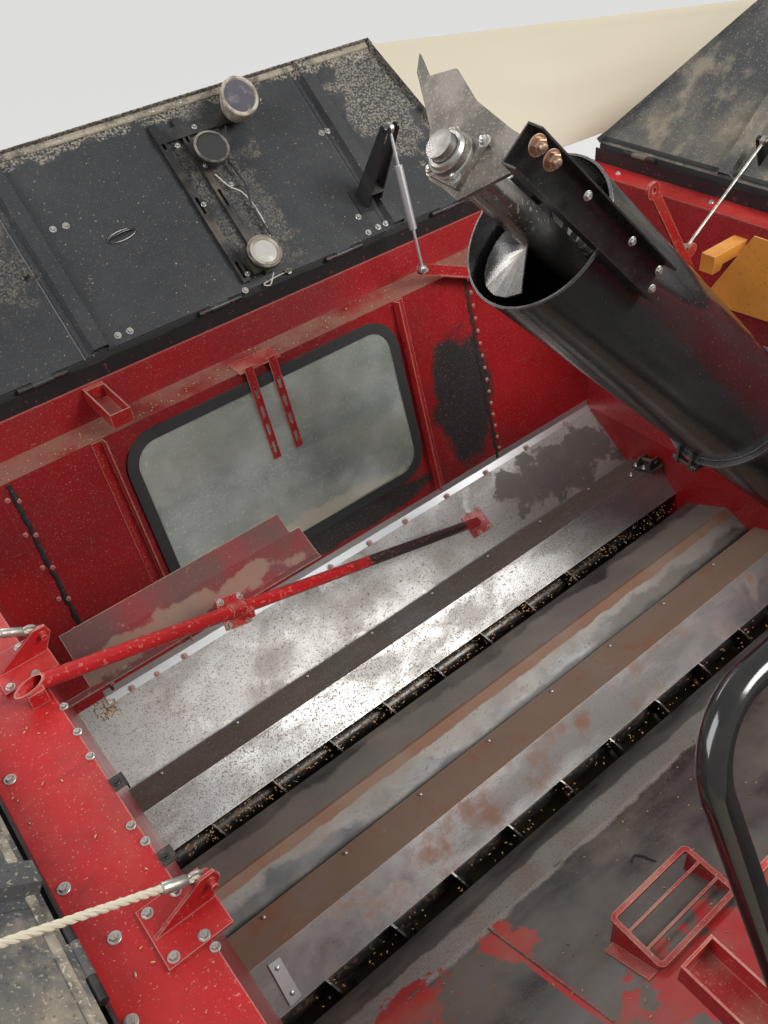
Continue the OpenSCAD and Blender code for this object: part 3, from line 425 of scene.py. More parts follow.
MADE = (
    Finish(
        # Base red darkened to paint the shade on the inner walls.
        "red_wall", WALL_RED_SHADED, 0.34, coat=0.15, dents=0.002,
        layers=(
            cloud((0.15, 0.004, 0.007), 0.5, 0.42, 1.6, 0.6),
            patch(SOOT, 0.4, (0.48, 0.93, 1.34), (0.15, 0.3, 0.30), 9.0, 0.5, facing=INWARD),
            patch(SOOT, 0.45, (-0.1, 0.89, 1.12), (0.42, 0.2, 0.055), 12.0, 0.6, facing=INWARD),
            dust(0.60, 0.6, (0.25, 0.16, 0.11)),
            specks((0.5, 0.3, 0.22), 0.18, 260.0, 0.5),
            wear((0.30, 0.07, 0.05)),
        ),
    ),
    Finish(
        "red_rail", (0.42, 0.012, 0.013), 0.34, coat=0.15,
        layers=(
            dust(0.30, 0.25, (0.45, 0.16, 0.12), 5.0),
            cloud((0.27, 0.010, 0.012), 0.5, 0.35, 6.0, 0.5),
            specks((0.62, 0.33, 0.27), 0.13, 210.0, 0.55),
            Layer(Spread.CRACK, (0.22, 0.01, 0.01), 0.6, amount=0.4, scale=5.0, strength=0.4),
            wear((0.55, 0.40, 0.34), metal=0.3),
        ),
    ),
    Finish(
        "red_part", (0.34, 0.009, 0.012), 0.32, coat=0.2,
        layers=(
            dust(0.45, 0.5, (0.45, 0.26, 0.19)),
            specks((0.6, 0.4, 0.3), 0.2, 210.0, 0.5),
            wear(CREAM, metal=0.2),
        ),
    ),
    Finish(
        # Base much darker than the other reds: painted shade of the guard's underside.
        "red_guard", (0.16, 0.008, 0.009), 0.5,
        layers=(
            cloud((0.075, 0.034, 0.028), 0.62, 0.58, 4.0, 0.8),
            patch((0.24, 0.17, 0.12), 0.8, (-0.9, 0.47, 1.575), (0.45, 0.05, 0.03), 12.0, 1.2, 0.6),
            specks((0.22, 0.12, 0.09), 0.16, 160.0, 0.4),
            wear(CREAM, metal=0.0),
        ),
    ),
    Finish(
        "red_brace", (0.40, 0.011, 0.013), 0.33, coat=0.2,
        layers=(
            patch((0.03, 0.024, 0.024), 0.42, (0.0, 0.55, 1.23), (0.34, 0.5, 0.5), 16.0, 0.7, 1.0, 0.2),
            Layer(Spread.SPECK, (0.55, 0.2, 0.16), 0.6, amount=0.25, scale=90.0, strength=0.5),
            wear(CREAM, metal=0.2),
        ),
    ),
    Finish(
        "dark_sheet", (0.034, 0.036, 0.039), 0.36, tone=0.14, grain=0.08, dents=0.0016,
        layers=(
            cloud((0.070, 0.070, 0.070), 0.5, 0.42, 1.6, 0.55),
            specks((0.13, 0.11, 0.085), 0.22, 210.0, 0.5),
            patch(CREAM, 0.85, (0.1, 1.65, 2.37), (1.2, 0.07, 0.08), 12.0, 1.1, 0.55, grainy=130.0),
            patch(CREAM, 0.85, (0.66, 1.50, 2.24), (0.15, 0.30, 0.30), 10.0, 1.3, 0.45, grainy=140.0),
            patch(
                (0.26, 0.22, 0.165), 0.85, (-0.02, 1.40, 2.14), (0.13, 0.34, 0.30), 10.0, 1.3, 0.4,
                grainy=150.0,
            ),
            patch(
                (0.26, 0.22, 0.165), 0.85, (-0.80, 1.48, 2.22), (0.12, 0.22, 0.22), 10.0, 1.3, 0.35,
                grainy=150.0,
            ),
            specks(CREAM, 0.05, 130.0, 0.7),
        ),
    ),
    Finish(
        "side_sheet", (0.075, 0.078, 0.082), 0.45, dents=0.002,
        layers=(
            cloud((0.20, 0.175, 0.135), 0.8, 0.46, 2.2, 0.7),
            cloud((0.38, 0.325, 0.24), 0.9, 0.3, 9.0, 0.55),
            specks((0.42, 0.36, 0.27), 0.22, 160.0, 0.6),
            specks((0.03, 0.03, 0.03), 0.2, 120.0, 0.5),
        ),
    ),
    Finish(
        "roof_front", (0.40, 0.395, 0.385), 0.36, 0.85, tone=0.2, tone_scale=5.0,
        layers=(
            cloud((0.21, 0.195, 0.18), 0.5, 0.48, 6.0, 0.8, 0.65, stretch=(0.6, 1.3, 1.3)),
            specks((0.15, 0.115, 0.09), 0.34, 190.0, 0.75, 0.3),
            Layer(Spread.AWAY, (0.155, 0.125, 0.10), 0.55, 0.45, amount=0.8, scale=5.0, strength=0.9),
            specks((0.85, 0.84, 0.82), 0.20, 300.0, 0.5, 0.8),
            wear((0.80, 0.78, 0.75), 30.0, 0.9),
        ),
    ),
    Finish(
        "roof_rear", (0.36, 0.355, 0.35), 0.34, 0.88, tone=0.2, tone_scale=3.0,
        layers=(
            cloud((0.17, 0.155, 0.145), 0.5, 0.48, 3.4, 0.8, 0.6, stretch=(0.5, 1.6, 1.6)),
            specks((0.14, 0.10, 0.075), 0.26, 210.0, 0.6, 0.2),
            Layer(Spread.AWAY, (0.24, 0.155, 0.105), 0.62, 0.25, amount=0.74, scale=4.0, strength=0.9),
            cloud((0.23, 0.10, 0.05), 0.75, 0.30, 7.0, 0.75, 0.1),
            wear((0.62, 0.55, 0.48), 26.0, 0.8),
        ),
    ),
    Finish(
        "floor_steel", (0.13, 0.13, 0.135), 0.30, 0.8, tone=0.3, tone_scale=1.3, dents=0.003,
        layers=(
            cloud((0.13, 0.115, 0.095), 0.6, 0.46, 3.0, 0.7, 0.25, stretch=(0.5, 1.6, 1.0)),
            cloud(SOOT, 0.3, 0.34, 4.2, 0.7, 0.5, stretch=(0.4, 1.5, 1.0)),
            patch(
                (0.52, 0.50, 0.47), 0.34, (-0.1, -0.35, 0.955), (2.2, 0.055, 0.2), 7.0, 0.6, 0.75,
                0.85,
            ),
            patch((0.46, 0.45, 0.435), 0.34, (0.0, 0.80, 1.02), (3.0, 0.235, 0.5), 3.0, 0.12, 1.0, 0.88),
            patch((0.36, 0.345, 0.33), 0.45, (0.1, 0.70, 0.94), (1.6, 0.14, 0.3), 9.0, 1.6, 0.7, 0.7),
            specks((0.15, 0.115, 0.09), 0.27, 220.0, 0.65, 0.3),
            patch((0.30, 0.28, 0.25), 0.6, (0.0, 0.205, 0.91), (3.0, 0.10, 0.2), 6.0, 0.8, 0.7, 0.4),
            specks((0.20, 0.10, 0.055), 0.22, 150.0, 0.6, 0.1),
            patch((0.20, 0.085, 0.04), 0.75, (0.0, 0.165, 0.915), (3.0, 0.022, 0.3), 12.0, 0.5, 0.85),
            # Near-black strip along the floor beside the rear auger roof: painted shadow of that roof.
            patch((0.045, 0.040, 0.038), 0.4, (0.0, 0.03, 0.86), (3.0, 0.06, 0.12), 5.0, 0.5, 0.85, 0.5),
            patch(
                (0.10, 0.085, 0.075), 0.5, (0.80, 0.73, 0.95), (0.34, 0.14, 0.12), 10.0, 1.5, 0.85,
                0.4,
            ),
            patch((0.46, 0.016, 0.016), 0.42, (-0.655, -0.455, 1.035), (0.065, 0.085, 0.07), 22.0, 1.1),
            patch((0.46, 0.016, 0.016), 0.42, (-0.655, -0.62, 1.13), (0.012, 0.24, 0.30), 24.0, 0.3),
            patch((0.44, 0.016, 0.016), 0.45, (-0.93, -0.41, 1.01), (0.12, 0.08, 0.10), 20.0, 1.5),
            patch((0.44, 0.016, 0.016), 0.45, (-0.36, -0.80, 1.24), (0.34, 0.10, 0.12), 16.0, 1.5),
            dust(0.40, 0.45, (0.25, 0.215, 0.17), 5.0),
        ),
    ),
    Finish(
        "trough_steel", (0.13, 0.125, 0.12), 0.45, 0.7,
        layers=(
            specks((0.30, 0.21, 0.12), 0.45, 90.0, 0.8),
            dust(0.75, 0.8, (0.30, 0.21, 0.12)),
        ),
    ),
    Finish(
        "flight_steel", (0.10, 0.095, 0.09), 0.35, 0.8,
        layers=(
            specks(RUST, 0.35, 90.0, 0.6),
            wear((0.6, 0.58, 0.55), 30.0, 0.9),
        ),
    ),
    Finish(
        "tube_steel", (0.20, 0.20, 0.21), 0.15, 0.95, tone=0.3, tone_scale=1.4, grain=0.04,
        layers=(
            cloud(
                (0.07, 0.068, 0.067), 0.28, 0.42, 2.2, 0.6, 0.8, stretch=(1.0, 1.0, 0.35),
                tilt=(0.0, 44.0, 0.0),
            ),
            specks((0.12, 0.10, 0.08), 0.12, 120.0, 0.4, 0.3),
            wear((0.55, 0.54, 0.52), 30.0, 0.9),
        ),
    ),
    Finish(
        "blade_steel", (0.50, 0.48, 0.46), 0.24, 0.95,
        layers=(
            cloud((0.20, 0.18, 0.16), 0.4, 0.4, 6.0, 1.0, 0.8),
            specks(RUST, 0.2, 90.0, 0.4),
        ),
    ),
    Finish(
        "plate_steel", (0.23, 0.205, 0.175), 0.52, 0.5,
        layers=(
            cloud((0.10, 0.085, 0.07), 0.6, 0.5, 9.0, 0.8, 0.3),
            specks((0.42, 0.36, 0.28), 0.28, 160.0, 0.6),
        ),
    ),
    Finish(
        "black_paint", (0.018, 0.018, 0.019), 0.30, coat=0.25, tone=0.3,
        layers=(
            cloud((0.06, 0.055, 0.05), 0.55, 0.3, 6.0, 0.6),
            dust(0.3, 0.4, TAN),
            specks((0.16, 0.135, 0.10), 0.16, 190.0, 0.5),
        ),
    ),
    Finish(
        "hinge_black", (0.016, 0.016, 0.017), 0.45,
        layers=(
            dust(0.35, 0.35, (0.10, 0.085, 0.065), 16.0),
            specks((0.30, 0.04, 0.03), 0.14, 60.0, 0.5),
        ),
    ),
    Finish(
        "black_gloss", (0.010, 0.009, 0.009), 0.12, coat=0.6, tone=0.3, grain=0.04,
        layers=(
            cloud((0.10, 0.008, 0.008), 0.3, 0.12, 5.0, 0.35),
            dust(0.2, 0.25, TAN),
        ),
    ),
    Finish(
        "zinc", (0.56, 0.55, 0.52), 0.32, 0.85,
        layers=(
            cloud((0.30, 0.27, 0.22), 0.5, 0.4, 30.0, 1.0, 0.6),
            wear((0.75, 0.74, 0.72), 50.0, 0.9),
        ),
    ),
    Finish(
        "galvanised", (0.50, 0.50, 0.49), 0.42, 0.75,
        layers=(
            cloud((0.28, 0.25, 0.21), 0.55, 0.42, 11.0, 0.8, 0.5),
            specks((0.14, 0.09, 0.06), 0.3, 120.0, 0.7),
            wear((0.7, 0.69, 0.66), 40.0, 0.9),
        ),
    ),
    Finish(
        "copper_bolt", (0.52, 0.33, 0.22), 0.35, 0.9,
        layers=(
            cloud((0.20, 0.13, 0.09), 0.5, 0.4, 40.0, 1.0, 0.7),
            wear((0.75, 0.58, 0.45), 60.0, 0.9),
        ),
    ),
    Finish(
        "red_bolt", (0.42, 0.035, 0.03), 0.4,
        layers=(
            dust(0.6, 0.6, (0.55, 0.40, 0.32), 30.0),
            wear((0.62, 0.52, 0.46), 60.0, 0.6),
        ),
    ),
    Finish(
        "window_glass", (0.20, 0.235, 0.20), 0.10, alpha=0.62, grain=0.02, tone=0.3, tone_scale=3.0,
        coat=0.5,
        layers=(
            cloud((0.33, 0.35, 0.29), 0.5, 0.5, 3.4, 0.55, stretch=(0.6, 1.0, 1.5)),
            specks((0.45, 0.42, 0.34), 0.24, 90.0, 0.5),
            patch((0.44, 0.40, 0.31), 0.8, (-0.235, 0.9, 1.205), (0.50, 0.4, 0.05), 7.0, 0.9, 0.8),
        ),
    ),
    Finish(
        "rubber", (0.018, 0.018, 0.018), 0.62, grain=0.3,
        layers=(
            dust(0.4, 0.5, TAN, 12.0),
            specks((0.20, 0.17, 0.13), 0.2, 160.0, 0.5),
        ),
    ),
    Finish(
        "fabric", (0.150, 0.124, 0.086), 0.88, tone=0.3, tone_scale=3.2, grain=0.6,
        grain_scale=420.0, weave=2600.0,
        layers=(
            cloud((0.066, 0.056, 0.041), 0.9, 0.50, 2.6, 0.75),
            cloud((0.27, 0.225, 0.155), 0.95, 0.34, 12.0, 0.6),
            specks((0.05, 0.042, 0.033), 0.22, 120.0, 0.6),
        ),
    ),
    Finish(
        "rope", (0.52, 0.49, 0.43), 0.75, grain=0.5, grain_scale=900.0,
        layers=(
            cloud((0.30, 0.27, 0.22), 0.85, 0.45, 22.0),
            specks((0.14, 0.12, 0.10), 0.24, 300.0, 0.6),
        ),
    ),
    Finish(
        "orange", (0.75, 0.30, 0.045), 0.42, coat=0.15,
        layers=(
            dust(0.4, 0.4, (0.62, 0.42, 0.22)),
            specks((0.30, 0.14, 0.05), 0.2, 90.0, 0.5),
            wear((0.85, 0.60, 0.35), 40.0, 0.1),
        ),
    ),
    Finish(
        "lamp_cream", (0.46, 0.42, 0.34), 0.6, grain=0.25,
        layers=(
            cloud((0.24, 0.205, 0.16), 0.8, 0.5, 22.0),
            specks((0.09, 0.075, 0.06), 0.2, 200.0, 0.6),
        ),
    ),
    Finish(
        "lamp_black", (0.02, 0.02, 0.02), 0.42,
        layers=(
            dust(0.5, 0.55, CREAM, 22.0),
            wear((0.25, 0.22, 0.18), 50.0, 0.1),
        ),
    ),
    Finish(
        "lamp_lens", (0.105, 0.095, 0.115), 0.08, 0.3, coat=0.9, grain=0.03,
        layers=(
            cloud((0.26, 0.235, 0.20), 0.5, 0.3, 40.0, 0.5),
        ),
    ),
    Finish(
        "lamp_white", (0.72, 0.70, 0.64), 0.2, 0.35, coat=0.8,
        layers=(
            cloud((0.42, 0.38, 0.30), 0.6, 0.35, 30.0, 0.6),
        ),
    ),
    Finish(
        "white_wire", (0.62, 0.59, 0.52), 0.55,
        layers=(
            specks((0.25, 0.21, 0.16), 0.3, 240.0, 0.7),
        ),
    ),
    Finish(
        "grain", (0.40, 0.23, 0.085), 0.7, tone=0.5, tone_scale=60.0,
        layers=(
            Layer(Spread.SPECK, (0.55, 0.42, 0.24), 0.8, amount=0.4, scale=120.0),
            specks((0.15, 0.07, 0.03), 0.3, 90.0, 0.8),
        ),
    ),
    Finish(
        "sealant", (0.016, 0.016, 0.017), 0.5, grain=0.5,
        layers=(
            dust(0.5, 0.4, TAN, 20.0),
            specks((0.16, 0.12, 0.10), 0.2, 140.0, 0.5),
        ),
    ),
    Finish(
        "dusty_trim", (0.33, 0.29, 0.225), 0.8, grain=0.4,
        layers=(
            cloud((0.10, 0.09, 0.075), 0.7, 0.38, 14.0),
            specks((0.55, 0.48, 0.36), 0.3, 160.0, 0.7),
        ),
    ),
)
FINISHES: dict[str, Finish] = {finish.name: finish for finish in MADE}

FINISHED_NODES: dict[str, str] = {
    "red_wall": "front_wall_centre front_wall_corners left_wall right_wall rear_wall",
    "floor_steel": "floor_sheets",
    "trough_steel": "auger_troughs",
    "red_rail": "rim_rails rope_brackets",
    "hinge_black": "hinge_strips",
    "window_glass": "window_glass",
    "rubber": "window_seal",
    "red_part": (
        "front_wall_fittings slope_step wall_step wall_ribs cradle_plates underframe feet "
        "outlet_sump torque_tube front_lever right_lever"
    ),
    "red_guard": "folded_guard",
    "red_brace": "brace_tube",
    "galvanised": "floor_joint_strip turnbuckle",
    "roof_front": "front_auger_roof",
    "roof_rear": "rear_auger_roof",
    "black_gloss": "grab_rail",
    "black_paint": (
        "grab_brackets beam_caps auger_bearings lamp_rails front_cover_bracket right_cover_bracket "
        "tube_arm"
    ),
    "tube_steel": "auger_boot loading_tube",
    "orange": "drive_guard",
    "dark_sheet": "front_cover rear_cover",
    "lamp_cream": "work_lamps",
    "side_sheet": "left_cover right_cover",
    "fabric": "corner_fabric",
    "rope": "left_ropes",
    "plate_steel": "bearing_plate",
    "blade_steel": "loading_screw loading_flight",
    "flight_steel": (
        "boot_screw boot_flight front_auger_pipe front_auger_flight rear_auger_pipe "
        "rear_auger_flight"
    ),
    "zinc": "right_stay_rod",
}


def paint_nodes(nodes: dict[str, bpy.types.Object]) -> None:
    """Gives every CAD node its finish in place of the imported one."""
    finish_of = {name: finish for finish, names in FINISHED_NODES.items() for name in names.split()}
    for name, piece in nodes.items():
        finish = FINISHES[finish_of[name]].material()
        for place in piece.material_slots:
            place.material = finish
    LOG.info("painted %d nodes", len(nodes))


# Meshes.


def smooth_path(points: Sequence[Triple], count: int) -> list[Vector]:
    """A smooth curve through points.

    Args:
        points: Points in millimetres.
        count: Steps between two points.

    Returns:
        Points on a Catmull-Rom curve, in millimetres.
    """
    marks = [Vector(p) for p in points]
    marks = [marks[0] * 2 - marks[1], *marks, marks[-1] * 2 - marks[-2]]
    line = []
    for a, b, c, d in zip(marks, marks[1:], marks[2:], marks[3:]):
        for k in range(count):
            t = k / count
            square = (a * 2 - b * 5 + c * 4 - d) * t * t
            cube = (b * 3 - a - c * 3 + d) * t**3
            line.append(0.5 * (b * 2 + (c - a) * t + square + cube))
    return [*line, marks[-2]]


class Mesh:
    """Faces gathered for one piece."""

    def __init__(self) -> None:
        """Starts empty."""
        self.faces = bmesh.new()

    def ring(self, place: Matrix, points: Sequence[Triple]) -> list[bmesh.types.BMVert]:
        """Vertices at points given in millimetres in a place."""
        return [self.faces.verts.new(place @ (Vector(p) * MM)) for p in points]

    def bridge(self, a: list, b: list, closed: bool = True) -> None:
        """Faces between two rings, either of which may be one point."""
        if len(a) == 1 and len(b) == 1:
            return
        count = max(len(a), len(b))
        for k in range(count if closed else count - 1):
            n = (k + 1) % count
            corners = [a[k % len(a)], a[n % len(a)], b[n % len(b)], b[k % len(b)]]
            self.faces.faces.new(list(dict.fromkeys(corners)))

    def cap(self, ring: list, flip: bool = False) -> None:
        """Closes a ring with one face."""
        self.faces.faces.new(ring[::-1] if flip else ring)

    def lathe(
        self, place: Matrix, profile: Sequence[Pair], count: int = 24, squeeze: float = 1.0
    ) -> None:
        """A turned form.

        Args:
            place: Place of the axis, along its Z.
            profile: Radius and height pairs, in millimetres.
            count: Sides.
            squeeze: Share of the radius across Y.
        """
        rings = []
        for radius, height in profile:
            sides = count if radius > 0 else 1
            ring = [(radius * x, radius * y * squeeze, height) for x, y in circle(count)[:sides]]
            rings.append(self.ring(place, ring))
        for a, b in zip(rings, rings[1:]):
            self.bridge(a, b)
        for ring, flip in ((rings[0], True), (rings[-1], False)):
            if len(ring) > 1:
                self.cap(ring, flip)

    def sweep(
        self,
        place: Matrix,
        points: Sequence[Union[Triple, Vector]],
        radius: Union[float, Sequence[float]],
        count: int = 10,
        section: Optional[Sequence[Pair]] = None,
    ) -> None:
        """A tube, or a section, along a line.

        Args:
            place: Frame of the points.
            points: Line in millimetres.
            radius: One radius, or one for each point.
            count: Sides of the tube.
            section: Closed section used in place of a circle, scaled by the radius.
        """
        line = [Vector(p) for p in points]
        sizes = [radius] * len(line) if isinstance(radius, (int, float)) else list(radius)
        shape = section or circle(count)
        ahead = (line[1] - line[0]).normalized()
        steep = abs(ahead.z) > 0.9
        side = (ahead.orthogonal() if steep else Vector((0, 0, 1)).cross(ahead)).normalized()
        rings = []
        for k, point in enumerate(line):
            forward = (line[min(k + 1, len(line) - 1)] - line[max(k - 1, 0)]).normalized()
            side = (side - forward * side.dot(forward)).normalized()
            up = forward.cross(side)
            around = [point + side * (x * sizes[k]) + up * (y * sizes[k]) for x, y in shape]
            rings.append(self.ring(place, around))
        for a, b in zip(rings, rings[1:]):
            self.bridge(a, b)
        self.cap(rings[0], True)
        self.cap(rings[-1])

    def slab(
        self, place: Matrix, outline: Sequence[Pair], low: float, high: float, chamfer: float = 0.6
    ) -> None:
        """A flat plate with chamfered edges.

        Args:
            place: Frame of the plate.
            outline: Corners, anticlockwise, in millimetres.
            low: Height of the underside.
            high: Height of the face.
            chamfer: Width of the chamfer.
        """
        corners = [Vector((x, y, 0)) for x, y in outline]
        inner = []
        for k, point in enumerate(corners):
            before = (point - corners[k - 1]).normalized()
            after = (corners[(k + 1) % len(corners)] - point).normalized()
            bisector = Vector((-before.y - after.y, before.x + after.x, 0)).normalized()
            lean = max(0.35, bisector.dot(Vector((-before.y, before.x, 0))))
            inner.append(point + bisector * (chamfer / lean))
        levels = [(inner, low), (corners, low + chamfer), (corners, high - chamfer), (inner, high)]
        rings = [self.ring(place, [(p.x, p.y, z) for p in level]) for level, z in levels]
        for a, b in zip(rings, rings[1:]):
            self.bridge(a, b)
        self.cap(rings[0], True)
        self.cap(rings[-1])

    def bolt(self, place: Matrix, head: float = 8.0, washer: float = 11.0, stud: float = 0.0) -> None:
        """A hexagon head on a washer, or a nut with the end of its stud.

        Args:
            place: Place of the seat, with Z away from it.
            head: Half the width across corners.
            washer: Radius of the washer.
            stud: Height of the stud above the nut, 0 for a bolt head.
        """
        tall = head * 0.75
        self.lathe(place, [(washer, 0), (washer, 1.2), (washer - 0.7, 2.0), (head * 0.8, 2.1)], 20)
        flats = [(head * 0.96, 1.9), (head, 2.6), (head, tall), (head * 0.84, tall + 2)]
        top = [(head * 0.45, tall + 2), (head * 0.45, tall + 1.4), (0, tall + 1.2)]
        self.lathe(place, flats if stud else [*flats, *top], 6)
        if stud:
            radius = head * 0.5
            thread = [(radius - 0.5 * (k % 2), tall + 1 + stud * k / 8) for k in range(9)]
            self.lathe(place, [*thread, (radius * 0.7, tall + 2 + stud), (0, tall + 2.2 + stud)], 12)

    def rivet(self, place: Matrix, radius: float = 5.0) -> None:
        """A low domed rivet."""
        dome = ((1.0, 0), (1.0, 0.2), (0.8, 0.5), (0.4, 0.66), (0, 0.7))
        self.lathe(place, [(radius * r, radius * z) for r, z in dome], 12)

    def weld(self, place: Matrix, start: Triple, end: Triple, size: float, rng: random.Random) -> None:
        """A rippled weld bead from start to end."""
        a, b = Vector(start), Vector(end)
        count = max(4, int((b - a).length / (size * 0.7)))
        line = [a.lerp(b, k / count) for k in range(count + 1)]
        sizes = [size * (0.75 + 0.3 * (k % 2) + rng.uniform(-0.12, 0.12)) for k in range(count + 1)]
        self.sweep(place, line, sizes, 7)

    def piece(
        self, name: str, finish: str, body: str, slot: str, sharp: float = 38.0
    ) -> bpy.types.Object:
        """Closes the piece.

        Args:
            name: Name of the new object.
            finish: Name of its finish.
            body: Body that it rides on.
            slot: Material slot of the record that it belongs to; not used.
            sharp: Angle in degrees above which an edge stays sharp.

        Returns:
            The object, riding on its body.
        """
        bmesh.ops.recalc_face_normals(self.faces, faces=self.faces.faces)
        data = bpy.data.meshes.new(name)
        self.faces.to_mesh(data)
        self.faces.free()
        data.shade_smooth()
        data.set_sharp_from_angle(angle=math.radians(sharp))
        data.materials.append(FINISHES[finish].material())
        made = bpy.data.objects.new(name, data)
        bpy.context.scene.collection.objects.link(made)
        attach(made, body)
        LOG.info("%s: %d faces on %s", name, len(data.polygons), body)
        return made


# Studio.


@dataclass
class Studio:
    """Camera at the photograph's place, soft lights and a pale floor."""

    eye: Triple = (-1.286, -1.090, 3.186)
    right: Triple = (0.7787, -0.6213, -0.0872)
    up: Triple = (0.4649, 0.4780, 0.7453)
    back: Triple = (-0.4213, -0.6209, 0.6611)
    lens: float = 31.5
    sensor: float = 36.0
    view_end: float = 60.0
    floor_reach: float = 40.0
    sky: Triple = (0.86, 0.87, 0.88)
    sky_light: float = 0.42
    sky_shown: float = 0.86
    floor_colour: Triple = (0.72, 0.71, 0.69)
    floor_light: float = 0.30
    floor_shown: Triple = (0.34, 0.335, 0.33)
    floor_pale: float = 0.58

    def camera(self) -> None:
        """Makes the camera and sets it as the scene's."""
        data = bpy.data.cameras.new("camera")
        data.lens, data.sensor_width, data.clip_end = self.lens, self.sensor, self.view_end
        camera = bpy.data.objects.new("camera", data)
        bpy.context.scene.collection.objects.link(camera)
        axes = Matrix((self.right, self.up, self.back)).transposed().to_4x4()
        camera.matrix_world = Matrix.Translation(self.eye) @ axes
        bpy.context.scene.camera = camera

    def light(
        self, name: str, place: Triple, target: Triple, size: Pair, power: float, colour: Triple
    ) -> None:
        """One soft area light.

        Args:
            name: Name of the light.
            place: Where it hangs, in metres.
            target: Where it points.
            size: Width and height in metres.
            power: Watts.
            colour: Colour of the light.
        """
        data = bpy.data.lights.new(name, "AREA")
        data.shape, data.energy, data.color = "RECTANGLE", power, colour
        data.size, data.size_y = size
        lamp = bpy.data.objects.new(name, data)
        bpy.context.scene.collection.objects.link(lamp)
        lamp.location = place
        lamp.rotation_euler = (Vector(target) - Vector(place)).to_track_quat("-Z", "Y").to_euler()

    def lights(self) -> None:
        """Key, fill and back light, with a plain sky."""
        self.light("key", (2.3, -3.2, 5.0), (0.0, 0.4, 0.9), (3.2, 2.0), 285, (1.0, 0.99, 0.97))
        self.light("fill", (-4.2, 0.6, 5.2), (0.0, 0.2, 1.1), (2.6, 3.2), 150, (0.97, 0.98, 1.0))
        self.light("back", (0.6, 5.4, 4.6), (0.1, 0.4, 1.4), (4.0, 1.4), 120, (1.0, 0.98, 0.95))
        world = bpy.data.worlds.new("sky")
        bpy.context.scene.world = world
        world.use_nodes = True
        nodes, links = world.node_tree.nodes, world.node_tree.links
        light = nodes["Background"]
        shown = nodes.new("ShaderNodeBackground")
        for ground, strength in ((light, self.sky_light), (shown, self.sky_shown)):
            ground.inputs["Color"].default_value = rgb(self.sky)
            ground.inputs["Strength"].default_value = strength
        mix = nodes.new("ShaderNodeMixShader")
        links.new(nodes.new("ShaderNodeLightPath").outputs["Is Camera Ray"], mix.inputs[0])
        links.new(light.outputs[0], mix.inputs[1])
        links.new(shown.outputs[0], mix.inputs[2])
        links.new(mix.outputs[0], nodes["World Output"].inputs["Surface"])
        bpy.context.scene.view_settings.view_transform = "Standard"

    def floor_material(self) -> bpy.types.Material:
        """A matt floor, shown paler to the camera than it lights the object.

        Returns:
            The material.
        """
        graph = Graph("floor_matt")
        plain = {"Base Color": rgb(self.floor_colour), "Roughness": 0.85}
        plain.update({"Emission Color": rgb(self.floor_colour), "Emission Strength": self.floor_light})
        darker = tuple(c * 0.95 for c in self.floor_shown)
        worn = graph.mix(graph.noise(0.6, 4), rgb(self.floor_shown), rgb(darker))
        pale = {"Base Color": worn, "Roughness": 0.9}
        pale.update({"Emission Color": rgb((1.0, 0.995, 0.985)), "Emission Strength": self.floor_pale})
        seen = graph.add("LightPath", out="Is Camera Ray")
        ends = [graph.add("BsdfPrincipled", None, values) for values in (plain, pale)]
        return graph.show(graph.add("MixShader", None, {0: seen, 1: ends[0], 2: ends[1]}))

    def floor(self) -> None:
        """A wide pale floor that isn't part of the object."""
        data = bpy.data.meshes.new("floor")
        far = self.floor_reach
        corners = [(-far, -far, 0), (far, -far, 0), (far, far, 0), (-far, far, 0)]
        data.from_pydata(corners, [], [(0, 1, 2, 3)])
        floor = bpy.data.objects.new("floor", data)
        bpy.context.scene.collection.objects.link(floor)
        data.materials.append(self.floor_material())

    def build(self) -> None:
        """Camera, lights and floor."""
        self.camera()
        self.lights()
        self.floor()
        LOG.info("studio ready")


# Front cover.


